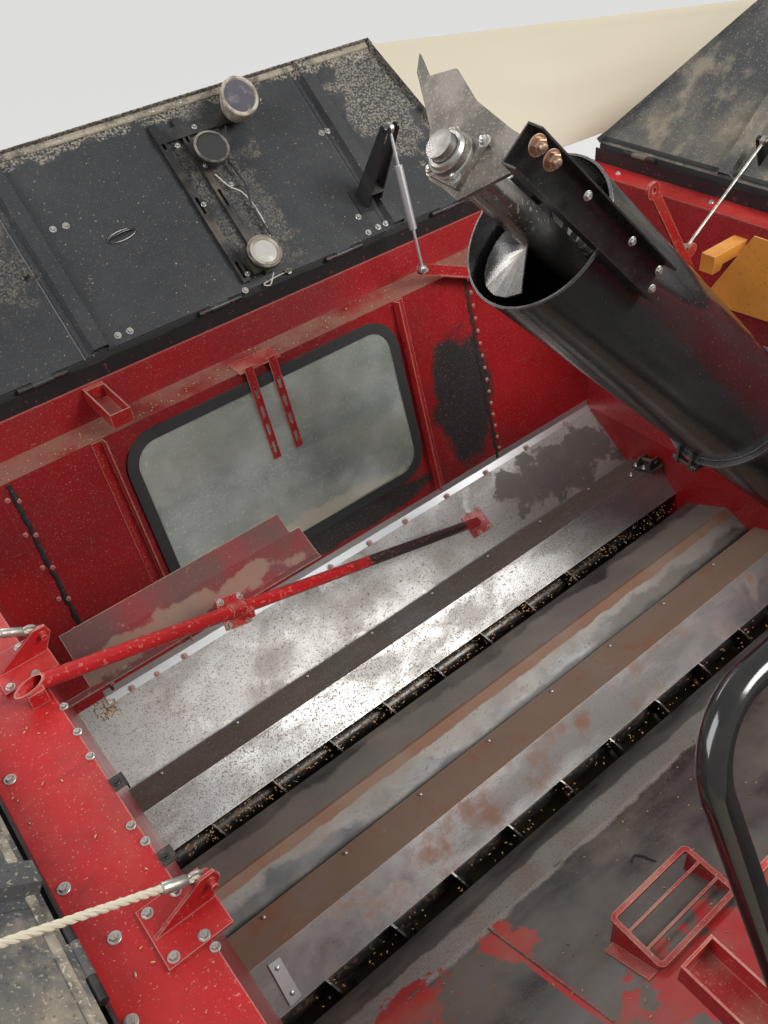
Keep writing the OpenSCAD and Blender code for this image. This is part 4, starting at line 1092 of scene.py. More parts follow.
@dataclass
class FrontCoverDress:
    """Bolts, lip, handle and hinge eyes of the front cover."""

    face: float = 1.6
    bolts: tuple[Pair, ...] = (
        (-575, 393), (-537, 390), (-575, 37), (-538, 35), (316, 88),
        (317, 28), (360, 32), (392, 33), (368, 396), (392, 395),
    )
    lip_bolts: tuple[float, ...] = (-113, -19, 152, -420, -700, 420, 610)
    lip_ends: Pair = (-905, 713)
    rib_seams: tuple[float, ...] = (-617, -663, 407, 453, -690, 380)
    handle: Pair = (-410, 306)

    def fasteners(self) -> None:
        """Zinc bolts on the inner face and its lip."""
        mesh = Mesh()
        for x, v in self.bolts:
            mesh.bolt(at(COVER, x, v, self.face), 7.0, 10.5)
        for x in self.lip_bolts:
            mesh.bolt(at(COVER, x, 641, self.face + 6), 5.5, 8.0)
        mesh.piece("cover_bolts", "zinc", "front_cover", "galvanised")

    def lip(self) -> None:
        """Dusty folded lip along the far edge, with its inner return."""
        mesh = Mesh()
        section = [(-11, -1), (-11, 5), (-8, 7.5), (8, 7.5), (11, 4), (11, -1)]
        low, high = self.lip_ends
        line = [
            (low + (high - low) * k / 24, 639, self.face + 0.4 * math.sin(k * 1.7)) for k in range(25)
        ]
        mesh.sweep(COVER, line, 1.0, section=[(-y, z) for y, z in section])
        mesh.piece("cover_lip", "dusty_trim", "front_cover", "dark_steel")
        edge = Mesh()
        bead = [(-4, -0.5), (-4, 2.5), (0, 4), (4, 2.5), (4, -0.5)]
        for near, far in ((-1004, -914), (819, 722)):
            side = [
                (near + (far - near) * k / 12, 4 + (628 - 4) * k / 12, self.face) for k in range(13)
            ]
            edge.sweep(COVER, side, 1.0, section=bead)
        edge.piece("cover_side_beads", "dark_sheet", "front_cover", "dark_steel")

    def grip(self) -> None:
        """Recessed oval handle with its frame."""
        x, v = self.handle
        place = turn(at(COVER, x, v, self.face), "Z", 4)
        mesh = Mesh()
        oval = [(46 * px, 15 * py) for px, py in circle(40)]
        loop = [(px, py, 0.8) for px, py in [*oval, oval[0]]]
        mesh.sweep(place, loop, 3.4, 8)
        grip = [(-38, 3, 0.0), (-30, 4, 6.0), (0, 5, 9.0), (30, 4, 6.0), (38, 3, 0.0)]
        mesh.sweep(place, smooth_path(grip, 6), 4.2, 10)
        mesh.piece("cover_handle", "black_paint", "front_cover", "black_steel")
        dish = Mesh()
        dish.slab(place, [(px * 0.93, py * 0.9) for px, py in oval], -0.4, 0.9, 0.4)
        dish.piece("handle_dish", "rubber", "front_cover", "dark_steel")

    def seams(self) -> None:
        """Folded seams beside the ribs and the hinge eye pin."""
        mesh = Mesh()
        for x in self.rib_seams:
            line = [
                (x + 0.6 * math.sin(k * 2.1), 8 + 620 * k / 20, self.face - 0.8) for k in range(21)
            ]
            mesh.sweep(COVER, line, 1.0, section=[(-3.2, 0), (0, 2.2), (3.2, 0)])
        mesh.piece("cover_seams", "dark_sheet", "front_cover", "dark_steel")
        pin = Mesh()
        place = at(COVER, -713, 288, self.face)
        pin.lathe(place, [(11, 0), (11, 4), (8, 6), (8, 16), (5, 19), (0, 19)], 16)
        eye = [(5.5, 0), (5.5, 0.6), (3.6, 0.8), (3.4, 0.3), (0, 0.2)]
        pin.lathe(at(COVER, -541, 333, self.face), eye, 16)
        pin.piece("cover_pin", "black_paint", "front_cover", "black_steel")

    def build(self) -> None:
        """All details of the front cover."""
        self.fasteners()
        self.lip()
        self.grip()
        self.seams()


@dataclass(frozen=True)
class Lamp:
    """One round work lamp: place on the cover, radius, depth and look."""

    x: float
    v: float
    radius: float
    depth: float
    shell: str
    face: str
    squeeze: float = 1.0
    turned: float = 0.0

    def place(self) -> Matrix:
        """Frame of the lamp's axis."""
        return turn(at(COVER, self.x, self.v, 21.7), "Z", self.turned)

    def shell_into(self, mesh: Mesh) -> None:
        """Stud, bowl and rolled rim."""
        r, d = self.radius, self.depth
        shoulder = 34 if d > 70 else 28
        profile = [
            (9, 0), (9, 17), (r * 0.34, 19), (r * 0.62, 24), (r * 0.84, shoulder),
            (r * 0.94, d * 0.62), (r * 0.97, d * 0.80), (r, d * 0.86), (r, d * 0.96), (r * 0.95, d),
            (r * 0.86, d), (r * 0.82, d * 0.955), (r * 0.80, d * 0.93), (0, d * 0.93),
        ]
        mesh.lathe(self.place(), profile, 44, self.squeeze)
        mesh.bolt(turn(at(self.place(), 0, -r * 0.9, d * 0.9), "X", 90), 4.0, 5.0)

    def face_into(self, mesh: Mesh) -> None:
        """Lens with pressed rings."""
        r, d = self.radius * 0.81, self.depth
        steps = 14
        profile = [(r, d * 0.925)]
        for k in range(steps):
            share = 1 - k / steps
            profile.append((r * share, d * 0.945 + 4.5 * (1 - share * share) + 0.7 * (k % 2)))
        mesh.lathe(self.place(), [*profile, (0, d * 0.945 + 4.5)], 44, self.squeeze)


@dataclass
class LampSet:
    """The three work lamps on their carrier, with the clipped harness."""

    lamps: tuple[Lamp, ...] = (
        Lamp(115, 540, 70, 90, "lamp_cream", "lamp_lens", 0.84, 62),
        Lamp(-44, 430, 55, 60, "lamp_black", "rubber"),
        Lamp(-78, 70, 55, 60, "lamp_black", "lamp_white"),
    )
    black_cable: tuple[Triple, ...] = (
        (60, 505, 30), (20, 440, 26), (10, 393, 24), (14, 307, 24),
        (-6, 234, 22), (-4, 120, 24), (-30, 40, 28),
    )
    white_wires: tuple[tuple[Triple, ...], ...] = (
        (
            (-57, 373, 26), (-36, 325, 22), (-8, 294, 20), (4, 240, 20),
            (2, 170, 20), (-12, 110, 26), (-36, 60, 30),
        ),
        ((-64, 20, 26), (-88, -6, 12), (-102, 6, 5), (-60, 12, 4), (-20, 14, 4)),
    )
    carrier_bolts: tuple[Pair, ...] = (
        (-137, 50), (-24, 50), (-112, 500), (-30, 540), (-140, 300), (150, 540), (-24, 330), (-66, 412),
    )

    def bodies(self) -> None:
        """Shells, faces and rims; they stand for the CAD node."""
        for shell in ("lamp_cream", "lamp_black"):
            mesh = Mesh()
            for lamp in self.lamps:
                if lamp.shell == shell:
                    lamp.shell_into(mesh)
            made = mesh.piece(f"work_{shell}_shells", shell, "front_cover", "lamp_shell")
            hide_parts("work_lamps")
        for lamp in self.lamps:
            mesh = Mesh()
            lamp.face_into(mesh)
            mesh.piece(f"lens_at_{abs(int(lamp.x))}", lamp.face, "front_cover", "glass")
        ring = Mesh()
        low = self.lamps[2]
        r, d = low.radius, low.depth
        profile = [
            (r * 0.84, d * 0.95), (r * 0.84, d + 1.2), (r * 0.80, d + 2.0), (r * 0.66, d + 1.0),
            (r * 0.66, d * 0.95),
        ]
        ring.lathe(low.place(), profile, 44)
        ring.piece("lower_lamp_ring", "lamp_cream", "front_cover", "lamp_shell")

    def harness(self) -> None:
        """Cables clipped along the carrier, with clips and a connector."""
        mesh = Mesh()
        mesh.sweep(COVER, smooth_path(self.black_cable, 8), 3.6, 8)
        mesh.piece("lamp_cable_black", "rubber", "front_cover", "rubber")
        mesh = Mesh()
        for wire in self.white_wires:
            mesh.sweep(COVER, smooth_path(wire, 8), 2.1, 7)
        mesh.piece("lamp_wires_white", "white_wire", "front_cover", "fabric")
        mesh = Mesh()
        clip = [(6.4, 0), (6.8, 1), (6.8, 7), (6.4, 8)]
        for x, v, w in ((10, 393, 24), (-5, 234, 22), (2, 170, 20), (-4, 120, 24)):
            mesh.lathe(turn(at(COVER, x, v - 4, w), "X", -90), clip, 14)
        mesh.slab(at(COVER, -8, 14, 2), [(-14, -6), (14, -6), (14, 6), (-14, 6)], 0, 9, 1.2)
        mesh.piece("cable_clips", "lamp_black", "front_cover", "rubber")

    def carrier(self) -> None:
        """Bolts of the lamp carrier."""
        mesh = Mesh()
        for x, v in self.carrier_bolts:
            low = 17.6 if v in (50, 300, 330) else 21.6
            mesh.bolt(at(COVER, x, v, low), 6.0, 8.5, 4.0)
        for x, v in ((-165, 12), (-5, 14)):
            mesh.bolt(at(COVER, x, v, 1.6), 7.0, 10.0)
        mesh.piece("carrier_bolts", "zinc", "front_cover", "galvanised")

    def build(self) -> None:
        """Lamps, carrier bolts and harness."""
        self.bodies()
        self.harness()
        self.carrier()


# Tank inside.


@dataclass
class TankFasteners:
    """Bolts and sealant strips on the rim and inside the tank."""

    rim_bolts: tuple[Pair, ...] = (
        (-1352, 55), (-1359, -195), (-1364, -440), (-1331, -318),
        (-1352, 620), (-1355, 860), (-1360, -700), (-1358, -960),
    )
    wall_bolts: tuple[Pair, ...] = (
        (-1216, 138), (-1220, 67), (-1224, 3), (-1229, -168),
        (-1224, -209), (-1222, -429), (-1220, 700), (-1221, 900),
    )
    strip_bolts: tuple[float, ...] = (-980, -795, -612, -399, -222, -52, 111, 309, 505, 720, 940)

    def zinc(self) -> None:
        """Bright bolts on the four sides of the rim."""
        mesh = Mesh()
        for x, y in self.rim_bolts:
            mesh.bolt(at(RIM, x, y, 0.1), 7.5, 11.0)
        for x, y in self.wall_bolts:
            mesh.bolt(at(RIM, x, y, 0.1), 6.0, 8.5)
        for x in range(-1000, 1150, 330):
            mesh.bolt(at(RIM, x, 1182, 0.1), 7.0, 10.0)
            mesh.bolt(at(RIM, x, -1182, 0.1), 7.0, 10.0)
        for y in range(-1000, 1100, 400):
            mesh.bolt(at(RIM, 1332, y, 0.1), 7.0, 10.0)
        for x in (-1112, 1052):
            for y in (-1170, -1130):
                mesh.bolt(at(RIM, x, y, 0.1), 7.0, 10.0)
        mesh.piece("rim_bolts", "zinc", "tank", "galvanised")

    def seams(self) -> None:
        """Bolt rows and gaskets along the front wall's seams."""
        bolts, gasket = Mesh(), Mesh()
        rng = random.Random(11)
        for x, count in ((601, 15), (-1049, 7)):
            for k in range(count):
                v = -44 - 662 * k / (count - 1)
                bolts.bolt(at(FRONT_WALL, x, v, 1.7), 5.2, 7.5)
                if x < 0:
                    bolts.bolt(at(FRONT_WALL, x + 24, v - 14, 1.7), 5.2, 7.5)
        flat = [(-1, 0), (-0.6, 0.3), (0.6, 0.3), (1, 0)]
        for x in (585, -1030):
            line = [(x + rng.uniform(-2.5, 2.5), -6 - 734 * k / 60, 1.6) for k in range(61)]
            widths = [7.0 + rng.uniform(-1.6, 1.6) for _ in line]
            gasket.sweep(FRONT_WALL, line, widths, section=flat)
        bolts.piece("seam_bolts", "red_bolt", "tank", "red_paint")
        gasket.piece("seam_gaskets", "sealant", "tank", "rubber")

    def strip(self) -> None:
        """Painted bolts along the floor joint strip."""
        mesh = Mesh()
        for x in self.strip_bolts:
            mesh.bolt(at(FRONT_FLOOR, x, -20, 8.3), 6.5, 9.5)
        mesh.piece("strip_bolts", "red_bolt", "tank", "red_paint")

    def build(self) -> None:
        """All fasteners."""
        self.zinc()
        self.seams()
        self.strip()


@dataclass
class HingeGapShade:
    """Dark rubber-finished strips behind the hinge lines, clipped to the hinge plates: painted shade
    that closes the gaps between the hinge knuckles.
    """

    section: tuple[Pair, ...] = (
        (2.3, -34), (9, -34), (11, -31), (11, 0), (16, 7.4), (14.6, 8.2), (9, 1.5), (9, -28), (2.3, -28)
    )

    def build(self) -> None:
        """One dark strip behind each of the four hinge lines, painting the shade in the hinge gap."""
        mesh = Mesh()
        ends = ((0, HINGE_Y, -1004, 819), (180, HINGE_Y, -819, 1004))
        sides = ((-90, HINGE_X, -1140, 1140), (90, HINGE_X, -1140, 1140))
        for degrees, out, low, high in (*ends, *sides):
            place = at(turn(WORLD, "Z", degrees), 0, out, HINGE_Z)
            line = [(low + (high - low) * k / 30, 0, 0.2 * math.sin(k * 2.3)) for k in range(31)]
            mesh.sweep(place, line, 1.0, section=self.section)
        mesh.piece("hinge_gap_shade_strips", "rubber", "tank", "rubber")


@dataclass
class BraceDress:
    """Clamp and bolts of the diagonal brace."""

    centre: Triple = (-769, 353, 1622)
    along: Triple = (0.825, 0.275, -0.494)
    across: Triple = (0.18, 0.70, 0.69)
    foot_bolts: tuple[Pair, ...] = ((337, -123), (383, -122), (337, -199), (383, -198))

    def clamp_place(self) -> Matrix:
        """Frame of the clamp: X along the tube, Z away from its plate."""
        x = Vector(self.along).normalized()
        z = x.cross(Vector(self.across)).normalized()
        axes = Matrix((x, z.cross(x), z)).transposed().to_4x4()
        return Matrix.Translation(Vector(self.centre) * MM) @ axes

    def build(self) -> None:
        """Saddle, plate and bolts of the clamp, and the bolts of the foot."""
        place = self.clamp_place()
        mesh = Mesh()
        mesh.slab(place, [(-46, -40), (46, -40), (46, 40), (-46, 40)], -7, -3, 1.2)
        arc = [math.pi * k / 12 for k in range(13)]
        outer = [(19.5 * math.cos(a), 19.5 * math.sin(a)) for a in arc]
        inner = [(16.7 * math.cos(a), 16.7 * math.sin(a)) for a in arc[::-1]]
        line = [(-24 + 6 * k, 0, 0) for k in range(9)]
        mesh.sweep(place, line, 1.0, section=outer + inner)
        mesh.piece("brace_clamp", "red_part", "tank", "red_paint")
        bolts = Mesh()
        for x in (-34, 34):
            for y in (-29, 29):
                bolts.bolt(at(place, x, y, -3), 7.0, 9.5)
        bolts.piece("clamp_bolts", "zinc", "tank", "galvanised")
        foot = Mesh()
        for x, y in self.foot_bolts:
            foot.bolt(at(FRONT_FLOOR, x, y, 5.1), 7.5, 10.5)
        foot.bolt(at(FRONT_FLOOR, -1058, 22, 1.8), 6.0, 9.0)
        foot.bolt(at(FRONT_FLOOR, -896, -22, 1.8), 6.0, 9.0)
        foot.piece("foot_bolts", "red_bolt", "tank", "red_paint")


@dataclass
class RoofDress:
    """Bolted brackets and plates at the ends of the auger roofs."""

    def right_clamp(self) -> None:
        """Black bolted clamp on the front roof's right end."""
        place = turn(at(WORLD, 1036, 497, 951), "X", -14)
        mesh = Mesh()
        mesh.slab(place, [(-34, -46), (30, -46), (40, -30), (40, 40), (28, 52), (-34, 52)], 0, 6, 1.0)
        for y, shoulder, top in ((-28, 26, 38), (30, 22, 32)):
            ear = [(-30, 0), (34, 0), (34, shoulder), (20, top), (-18, top), (-30, shoulder)]
            mesh.slab(turn(at(place, 0, y, 6), "X", 90), ear, -3, 3, 0.8)
        mesh.lathe(turn(at(place, 4, -38, 24), "X", -90), [(9, 0), (10, 1), (10, 84), (9, 85)], 18)
        mesh.piece("roof_clamp", "black_paint", "tank", "black_steel")
        bolts = Mesh()
        for x, y in ((-22, 4), (26, 6), (-20, 44), (-78, 20)):
            bolts.bolt(at(place, x, y, 6 if x > -50 else -1), 7.0, 10.0, 5.0)
        bolts.piece("roof_clamp_bolts", "galvanised", "tank", "galvanised")

    def left_plates(self) -> None:
        """Pale plate and black bracket at the rear roof's left end, and both roofs' rivets."""
        face = turn(at(WORLD, -1078, -71, 946), "X", 42.6)
        mesh = Mesh()
        mesh.slab(face, [(-26, -128), (10, -126), (12, -16), (-22, -14)], 3.4, 6.0, 0.8)
        mesh.piece("roof_end_plate", "galvanised", "tank", "galvanised")
        hook = Mesh()
        bends = [
            (-1138, -20, 868), (-1120, -26, 902), (-1116, -62, 912), (-1118, -100, 900),
            (-1138, -112, 862),
        ]
        flat = [(-9, -2.5), (9, -2.5), (9, 2.5), (-9, 2.5)]
        hook.sweep(WORLD, smooth_path(bends, 6), 1.0, section=flat)
        hook.piece("end_bracket", "black_paint", "tank", "black_steel")
        rivets = Mesh()
        for y in (-34, -104):
            rivets.rivet(at(face, -6, y, 6.0), 6.5)
        for x in range(-1040, 1080, 265):
            for ridge in (492, -71):
                rivets.rivet(at(turn(at(WORLD, 0, ridge, 946), "X", -19.8), x, 112, 3.1), 5.5)
        rivets.piece("roof_rivets", "galvanised", "tank", "galvanised")

    def loop(self) -> None:
        """Bent wire end that lies on the rear slope."""
        mesh = Mesh()
        bends = [
            (-304, -163, 2.4), (-286, -158, 3.6), (-276, -176, 3.0), (-274, -200, 3.6),
            (-272, -215, 2.4),
        ]
        mesh.sweep(REAR_SLOPE, smooth_path(bends, 6), 2.0, 7)
        mesh.piece("wire_end", "rubber", "tank", "rubber")

    def build(self) -> None:
        """Both ends and the wire."""
        self.right_clamp()
        self.left_plates()
        self.loop()


@dataclass
class BracketDress:
    """Bolts, welds and small brackets on the rails, rear slope and underframe."""

    seed: int = 5

    def rail_brackets(self) -> None:
        """Black angle brackets below the left rail's inner edge."""
        mesh = Mesh()
        for y in (-79, -255):
            flat = [(-13, -15), (11, -15), (11, 15), (-13, 15)]
            upright = [(-2, -15), (22, -9), (22, 9), (-2, 15)]
            mesh.slab(at(RIM, -1208, y, 0.2), flat, 0, 3, 0.8)
            mesh.slab(turn(at(RIM, -1199, y, 2), "Y", 90), upright, 0, 3, 0.8)
            mesh.bolt(at(RIM, -1212, y, 3.2), 5.0, 7.0)
        mesh.piece("rail_brackets", "black_paint", "tank", "black_steel")

    def bolts(self) -> None:
        """Bolts of the rope brackets, the underframe and the outlet's flange."""
        mesh = Mesh()
        for y in (290, -362):
            for x, dy in ((-1276, -42), (-1276, 42), (-1226, -44), (-1226, 44)):
                mesh.bolt(at(RIM, x, y + dy, 4.2), 7.0, 10.0)
        mesh.piece("rope_bracket_bolts", "zinc", "tank", "galvanised")
        under = Mesh()
        for x in (-804.5, 804.5):
            side = turn(at(WORLD, x, 0, 0), "Y", 90 if x > 0 else -90)
            for y in range(-1040, 840, 235):
                under.bolt(at(side, -585 if x > 0 else 585, y, 0), 9.0, 13.0, 4.0)
        flange = turn(at(WORLD, -1393, 173.5, 727.5), "Y", -90)
        for k in range(8):
            a = math.pi / 8 + math.pi * k / 4
            under.bolt(at(flange, 175 * math.cos(a), 175 * math.sin(a), 0.0), 7.0, 9.5, 5.0)
        under.piece("underframe_bolts", "zinc", "tank", "galvanised")

    def welds(self) -> None:
        """Weld beads on the legs, the underframe and the rear slope."""
        rng = random.Random(self.seed)
        mesh = Mesh()
        for x in (-800, 800):
            for y in (-950, 780):
                for s in (-1, 1):
                    mesh.weld(WORLD, (x - 38, y + s * 41, 458), (x + 38, y + s * 41, 458), 4.0, rng)
                    mesh.weld(WORLD, (x - 38, y + s * 41, 14), (x + 38, y + s * 41, 14), 4.0, rng)
            mesh.weld(WORLD, (x - 5.5, -1080, 562), (x - 5.5, 800, 562), 3.0, rng)
            mesh.weld(WORLD, (x + 5.5, -1080, 562), (x + 5.5, 800, 562), 3.0, rng)
        mesh.piece("frame_welds", "red_part", "tank", "red_paint")
        slope = Mesh()
        for x in (-900, -420, 90, 610, 980):
            slope.weld(REAR_SLOPE, (x, -6, 1.0), (x + rng.uniform(24, 44), -6, 1.0), 3.0, rng)
        slope.weld(REAR_SLOPE, (-650, -8, 1.0), (-650, -430, 1.0), 2.4, rng)
        slope.piece("slope_welds", "plate_steel", "tank", "bare_steel")

    def build(self) -> None:
        """All of them."""
        self.rail_brackets()
        self.bolts()
        self.welds()


@dataclass
class RightSideDress:
    """Lever nut and guard bolts on the right, and the edge strips of both side covers."""

    def build(self) -> None:
        """Nut of the lever, bolts of the guard and the covers' edge strips."""
        pins = Mesh()
        hub = turn(at(WORLD, 1151, 470, 1659), "X", 90)
        pins.bolt(hub, 15.0, 21.0, 6.0)
        pins.piece("lever_nut", "zinc", "right_lever", "galvanised")
        guard = Mesh()
        top = turn(at(WORLD, 1124.2, 0, 0), "Y", 90)
        for y, z in ((185, 1895), (180, 1702), (300, 1690), (385, 1672), (292, 1890)):
            guard.bolt(at(top, -z, y, 0), 7.0, 10.0)
        guard.piece("guard_bolts", "zinc", "tank", "galvanised")
        section = [(-8, -0.3), (-8, 2.4), (-4, 4.2), (4, 4.2), (8, 2.4), (8, -0.3)]
        line = [(-1128 + 2256 * k / 40, 30, 1.9) for k in range(41)]
        strips = ((RIGHT_COVER, "right_cover", "rubber"), (LEFT_COVER, "left_cover", "dusty_trim"))
        for place, body, finish in strips:
            edge = Mesh()
            edge.sweep(place, line, 1.0, section=section)
            edge.piece(f"{body}_rubber", finish, body, "rubber")


@dataclass
class Residue:
    """Grain and chaff that lies in the tank."""

    seed: int = 7

    def kernels(self) -> None:
        """Small spindles scattered in the gaps, on the ledge and the floor."""
        rng = random.Random(self.seed)
        mesh = Mesh()
        kernel = ((0, -2.4), (0.75, -1.2), (1, 0), (0.75, 1.3), (0, 2.4))
        spots: list[tuple[Matrix, Pair, Pair, int]] = [
            (at(WORLD, 0, 0, 843), (-1100, 1040), (346, 392), 520),
            (at(WORLD, 0, 0, 843), (-1100, 1040), (-222, -176), 120),
            (REAR_SLOPE, (-1050, 1000), (-560, -5), 150),
            (FRONT_FLOOR, (-1020, 1040), (-330, -50), 130),
            (at(WORLD, 0, 0, 1770.2), (-1180, 1180), (1035, 1122), 330),
            (RIM, (-1370, -1240), (-1100, 1100), 60),
            (at(FRONT_FLOOR, 0, 0, 0.6), (-1110, -1040), (-60, 30), 160),
        ]
        for place, (x0, x1), (y0, y1), count in spots:
            for _ in range(count):
                x, y = rng.uniform(x0, x1), rng.uniform(y0, y1)
                size = rng.uniform(1.1, 2.0)
                spot = turn(turn(at(place, x, y, size * 0.8 + 0.4), "Z", rng.uniform(0, 360)), "Y", 90)
                mesh.lathe(spot, [(size * r, z * size) for r, z in kernel], 5)
        mesh.piece("grain_residue", "grain", "tank", "rope")

    def build(self) -> None:
        """The residue."""
        self.kernels()


# Loading auger.


@dataclass
class TubeDress:
    """Bolts, bearing and seams of the loading auger."""

    arm_bolts: tuple[Pair, ...] = ((68, 1428), (68, 1381))
    flush_bolts: tuple[Pair, ...] = ((70, 1255), (70, 1076), (68, 951), (32, 934))
    plate_bolts: tuple[Pair, ...] = ((50, -50), (-32, -34), (42, 42), (-40, 40))
    arm_face: float = 220.2
    plate_face: float = 1390.2
    tube_radius: float = 180.3

    def build(self) -> None:
        """Copper bolts, flush bolts, flange bearing and the beads round the tube."""
        mesh = Mesh()
        arm = turn(TUBE, "X", 90)
        for x, z in self.arm_bolts:
            mesh.bolt(at(arm, x, z, self.arm_face), 15.0, 20.0, 8.0)
        mesh.piece("arm_bolts", "copper_bolt", "loading_tube", "galvanised")
        mesh = Mesh()
        for x, z in self.flush_bolts:
            mesh.bolt(at(arm, x, z, self.arm_face), 7.0, 10.0)
        for x, y in self.plate_bolts:
            mesh.bolt(at(TUBE, x, y, self.plate_face), 10.0, 13.0, 5.0)
        mesh.piece("tube_bolts", "zinc", "loading_tube", "galvanised")
        bearing = Mesh()
        housing = [(46, 0), (47, 8), (43, 12), (40, 30), (38, 33), (32, 33), (31.6, 28)]
        bearing.lathe(at(TUBE, 0, 0, 1390.3), housing, 40)
        bearing.piece("bearing_housing", "zinc", "loading_tube", "bare_steel")
        seam = Mesh()
        rng = random.Random(3)
        angles = [2 * math.pi * k / 120 for k in range(121)]
        for z in (1096, 14):
            ring = [(self.tube_radius * math.cos(a), self.tube_radius * math.sin(a), z) for a in angles]
            seam.sweep(TUBE, ring, [1.8 + rng.uniform(-0.4, 0.4) for _ in ring], 6)
        seam.piece("tube_beads", "tube_steel", "loading_tube", "bare_steel")


# Ropes and fabric.


@dataclass
class Ropes:
    """The two taut ropes that hold the left cover."""

    posts: Pair = (290, -362)
    aside: float = 10.5
    radius: float = 6.6
    reach: float = 560.0
    lay: float = 46.0
    step: float = 5.0

    def line(self, y: float) -> tuple[Vector, Vector]:
        """Ends of one rope, in millimetres."""
        a = Vector((-1180, y + self.aside, 1920))
        c, s = COVER_COS, COVER_SIN
        w = self.radius + 2.2
        out, up = HINGE_X + self.reach * c - w * s, HINGE_Z + self.reach * s + w * c
        b = Vector((-out, y + self.aside, up))
        return a + (b - a).normalized() * 8, b

    def build(self) -> None:
        """Laid ropes with ferrules, thimbles and end plates."""
        for number, y in enumerate(self.posts):
            a, b = self.line(y)
            axis = (b - a).normalized()
            side = axis.orthogonal().normalized()
            up = axis.cross(side)
            length = (b - a).length
            mesh = Mesh()
            count = int(length / self.step)
            for strand in range(3):
                points = []
                for k in range(count + 1):
                    a_turn = 2 * math.pi * (k * self.step / self.lay + strand / 3)
                    offset = (side * math.cos(a_turn) + up * math.sin(a_turn)) * (self.radius * 0.46)
                    points.append(a + axis * (length * k / count) + offset)
                mesh.sweep(WORLD, points, self.radius * 0.54, 7)
            rope = mesh.piece(f"cover_rope_{number}", "rope", "tank", "rope")
            rope.parent = None
            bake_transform(rope)
            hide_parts("left_ropes")
            ferrule = Mesh()
            ferrule.sweep(WORLD, [a + axis * d for d in (26, 28, 66, 68)], [8.4, 9.4, 9.4, 8.4], 18)
            across = Vector((0, 1, 0)).cross(axis)
            angles = [2 * math.pi * k / 28 for k in range(29)]
            eye = [a + axis * (12 - 13 * math.cos(t)) + across * (11 * math.sin(t)) for t in angles]
            ferrule.sweep(WORLD, eye, 3.4, 8)
            ferrule.piece(f"rope_thimble_{number}", "zinc", "tank", "galvanised")
            anchor = Mesh()
            spot = at(LEFT_COVER, y + self.aside, self.reach, 1.7)
            anchor.slab(spot, [(-26, -18), (26, -18), (26, 18), (-26, 18)], 0, 3, 1.0)
            anchor.bolt(at(spot, -18, 0, 3), 6.0, 8.0)
            anchor.bolt(at(spot, 18, 0, 3), 6.0, 8.0)
            anchor.piece(f"rope_anchor_{number}", "zinc", "left_cover", "galvanised")


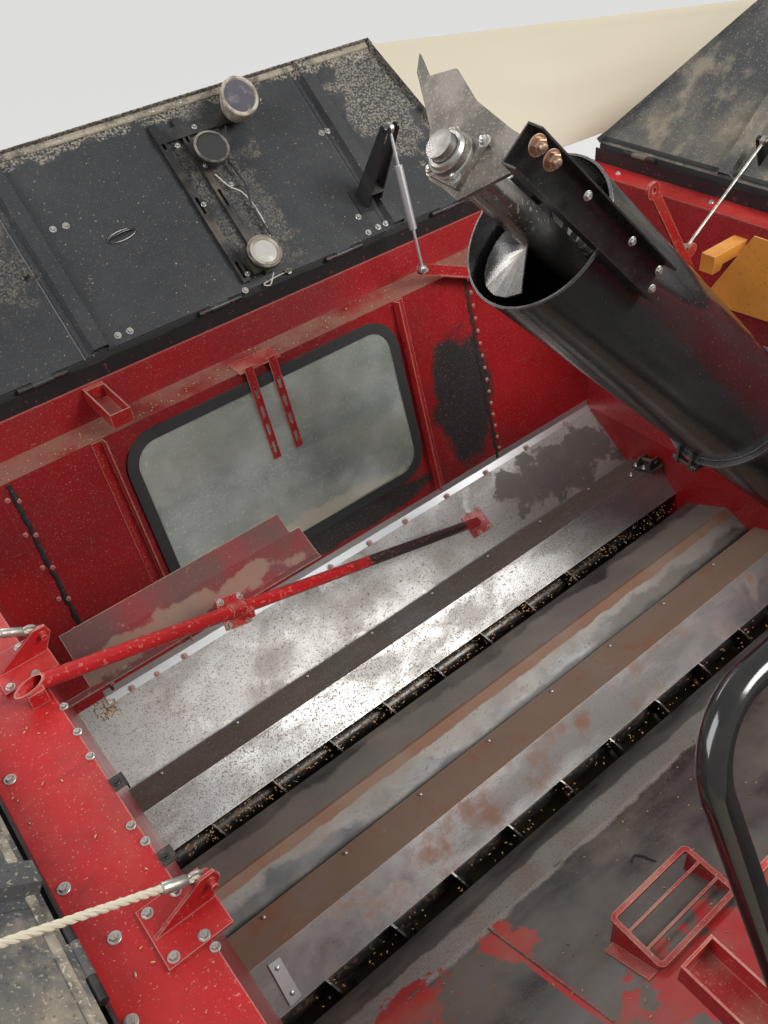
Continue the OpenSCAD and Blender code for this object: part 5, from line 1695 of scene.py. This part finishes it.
@dataclass
class CornerFabric:
    """The four stretched corner sheets between the covers, each in two halves."""

    steps: int = 28
    length: float = 620.0
    lift: float = 31.0
    side_edge: float = 1144.0
    side_slant: float = 0.4585

    def corner(self, side: int, end: int) -> list[Vector]:
        """Corners of one sheet.

        Args:
            side: 1 right, -1 left.
            end: 1 front, -1 rear.

        Returns:
            Near and far corner on the end cover, then far and near corner on the side cover.
        """
        c, s = COVER_COS, COVER_SIN
        near, far = (813, 716) if side > 0 else (-998, -908)
        side_far = self.side_edge - self.side_slant * self.length - 4

        def on_end(x: float, v: float) -> Vector:
            """Point over the end cover."""
            out = HINGE_Y + v * c - self.lift * s
            return Vector((x, end * out, HINGE_Z + v * s + self.lift * c))

        def on_side(y: float, v: float) -> Vector:
            """Point over the side cover."""
            out = HINGE_X + v * c - self.lift * s
            return Vector((side * out, end * y, HINGE_Z + v * s + self.lift * c))

        on_the_end = [on_end(near, 40), on_end(far, self.length)]
        return [*on_the_end, on_side(side_far, self.length), on_side(self.side_edge - 24, 40)]

    def half(self, name: str, number: int, low: float, corners: list[Vector], body: str) -> None:
        """One half of a sheet, from its cover to the seam in the middle.

        Args:
            name: Name of the piece.
            number: Number of the sheet, which sets its folds.
            low: Share of the width at which the half starts, 0 or 0.5.
            corners: Near and far corner on the end cover, then far and near corner on the side cover.
            body: Cover that the half is laced to.
        """
        a, b, c, d = corners
        normal = (c - a).cross(d - b).normalized()
        normal = normal if normal.z > 0 else -normal
        mesh = Mesh()
        rows = []
        for j in range(self.steps + 1):
            t = j / self.steps
            row = []
            for i in range(self.steps // 2 + 1):
                u = low + i / self.steps
                point = a.lerp(b, t).lerp(d.lerp(c, t), u)
                slack = math.sin(math.pi * u) * math.sin(math.pi * min(1.0, t * 1.15))
                ripple = 3.4 * math.sin(u * 17 + 3.0 * t + number)
                sag = 7.0 * noise.noise(Vector((u * 3, t * 4, number * 5.0)))
                hem = 1.6 * math.exp(-(((t - 0.965) * 90) ** 2) / 2)
                seam = 1.2 * math.exp(-(((u - 0.5) * 120) ** 2) / 2)
                row.append(point + normal * ((ripple + sag) * slack * 0.7 + hem + seam))
            rows.append(mesh.ring(WORLD, row))
        for below, above in zip(rows, rows[1:]):
            mesh.bridge(below, above, closed=False)
        area = sum(f.calc_area() for f in mesh.faces.faces)
        sheet = mesh.piece(name, "fabric", body, "fabric", 80)
        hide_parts("corner_fabric")
        near, far = (a + d) / 2, (b + c) / 2
        laced = (a, b) if low == 0.0 else (d, c)
        wide = max((near - laced[0]).length, (far - laced[1]).length) * MM
        long = max((laced[1] - laced[0]).length, (far - near).length) * MM
        along = (laced[1] - laced[0]).normalized()
        across = (near + far - laced[0] - laced[1]) / 2
        across = (across - along * across.dot(along)).normalized()
        tuple(laced[0] * MM)
        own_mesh(sheet)

    def build(self) -> None:
        """Both halves of each sheet, with slack folds, a hem and a seam."""
        for number, (side, end) in enumerate(((1, 1), (-1, 1), (1, -1), (-1, -1))):
            corners = self.corner(side, end)
            end_cover = "front_cover" if end > 0 else "rear_cover"
            side_cover = "right_cover" if side > 0 else "left_cover"
            self.half(f"corner_sheet_{number}_end", number, 0.0, corners, end_cover)
            self.half(f"corner_sheet_{number}_side", number, 0.5, corners, side_cover)


def main() -> None:
    """Builds the scene in order."""
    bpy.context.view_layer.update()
    Studio().build()
    paint_nodes(frame["nodes"])
    FrontCoverDress().build()
    LampSet().build()
    TankFasteners().build()
    HingeGapShade().build()
    BraceDress().build()
    RoofDress().build()
    BracketDress().build()
    RightSideDress().build()
    TubeDress().build()
    Ropes().build()
    CornerFabric().build()
    Residue().build()
    bpy.context.view_layer.update()


if __name__ == "__main__":
    main()
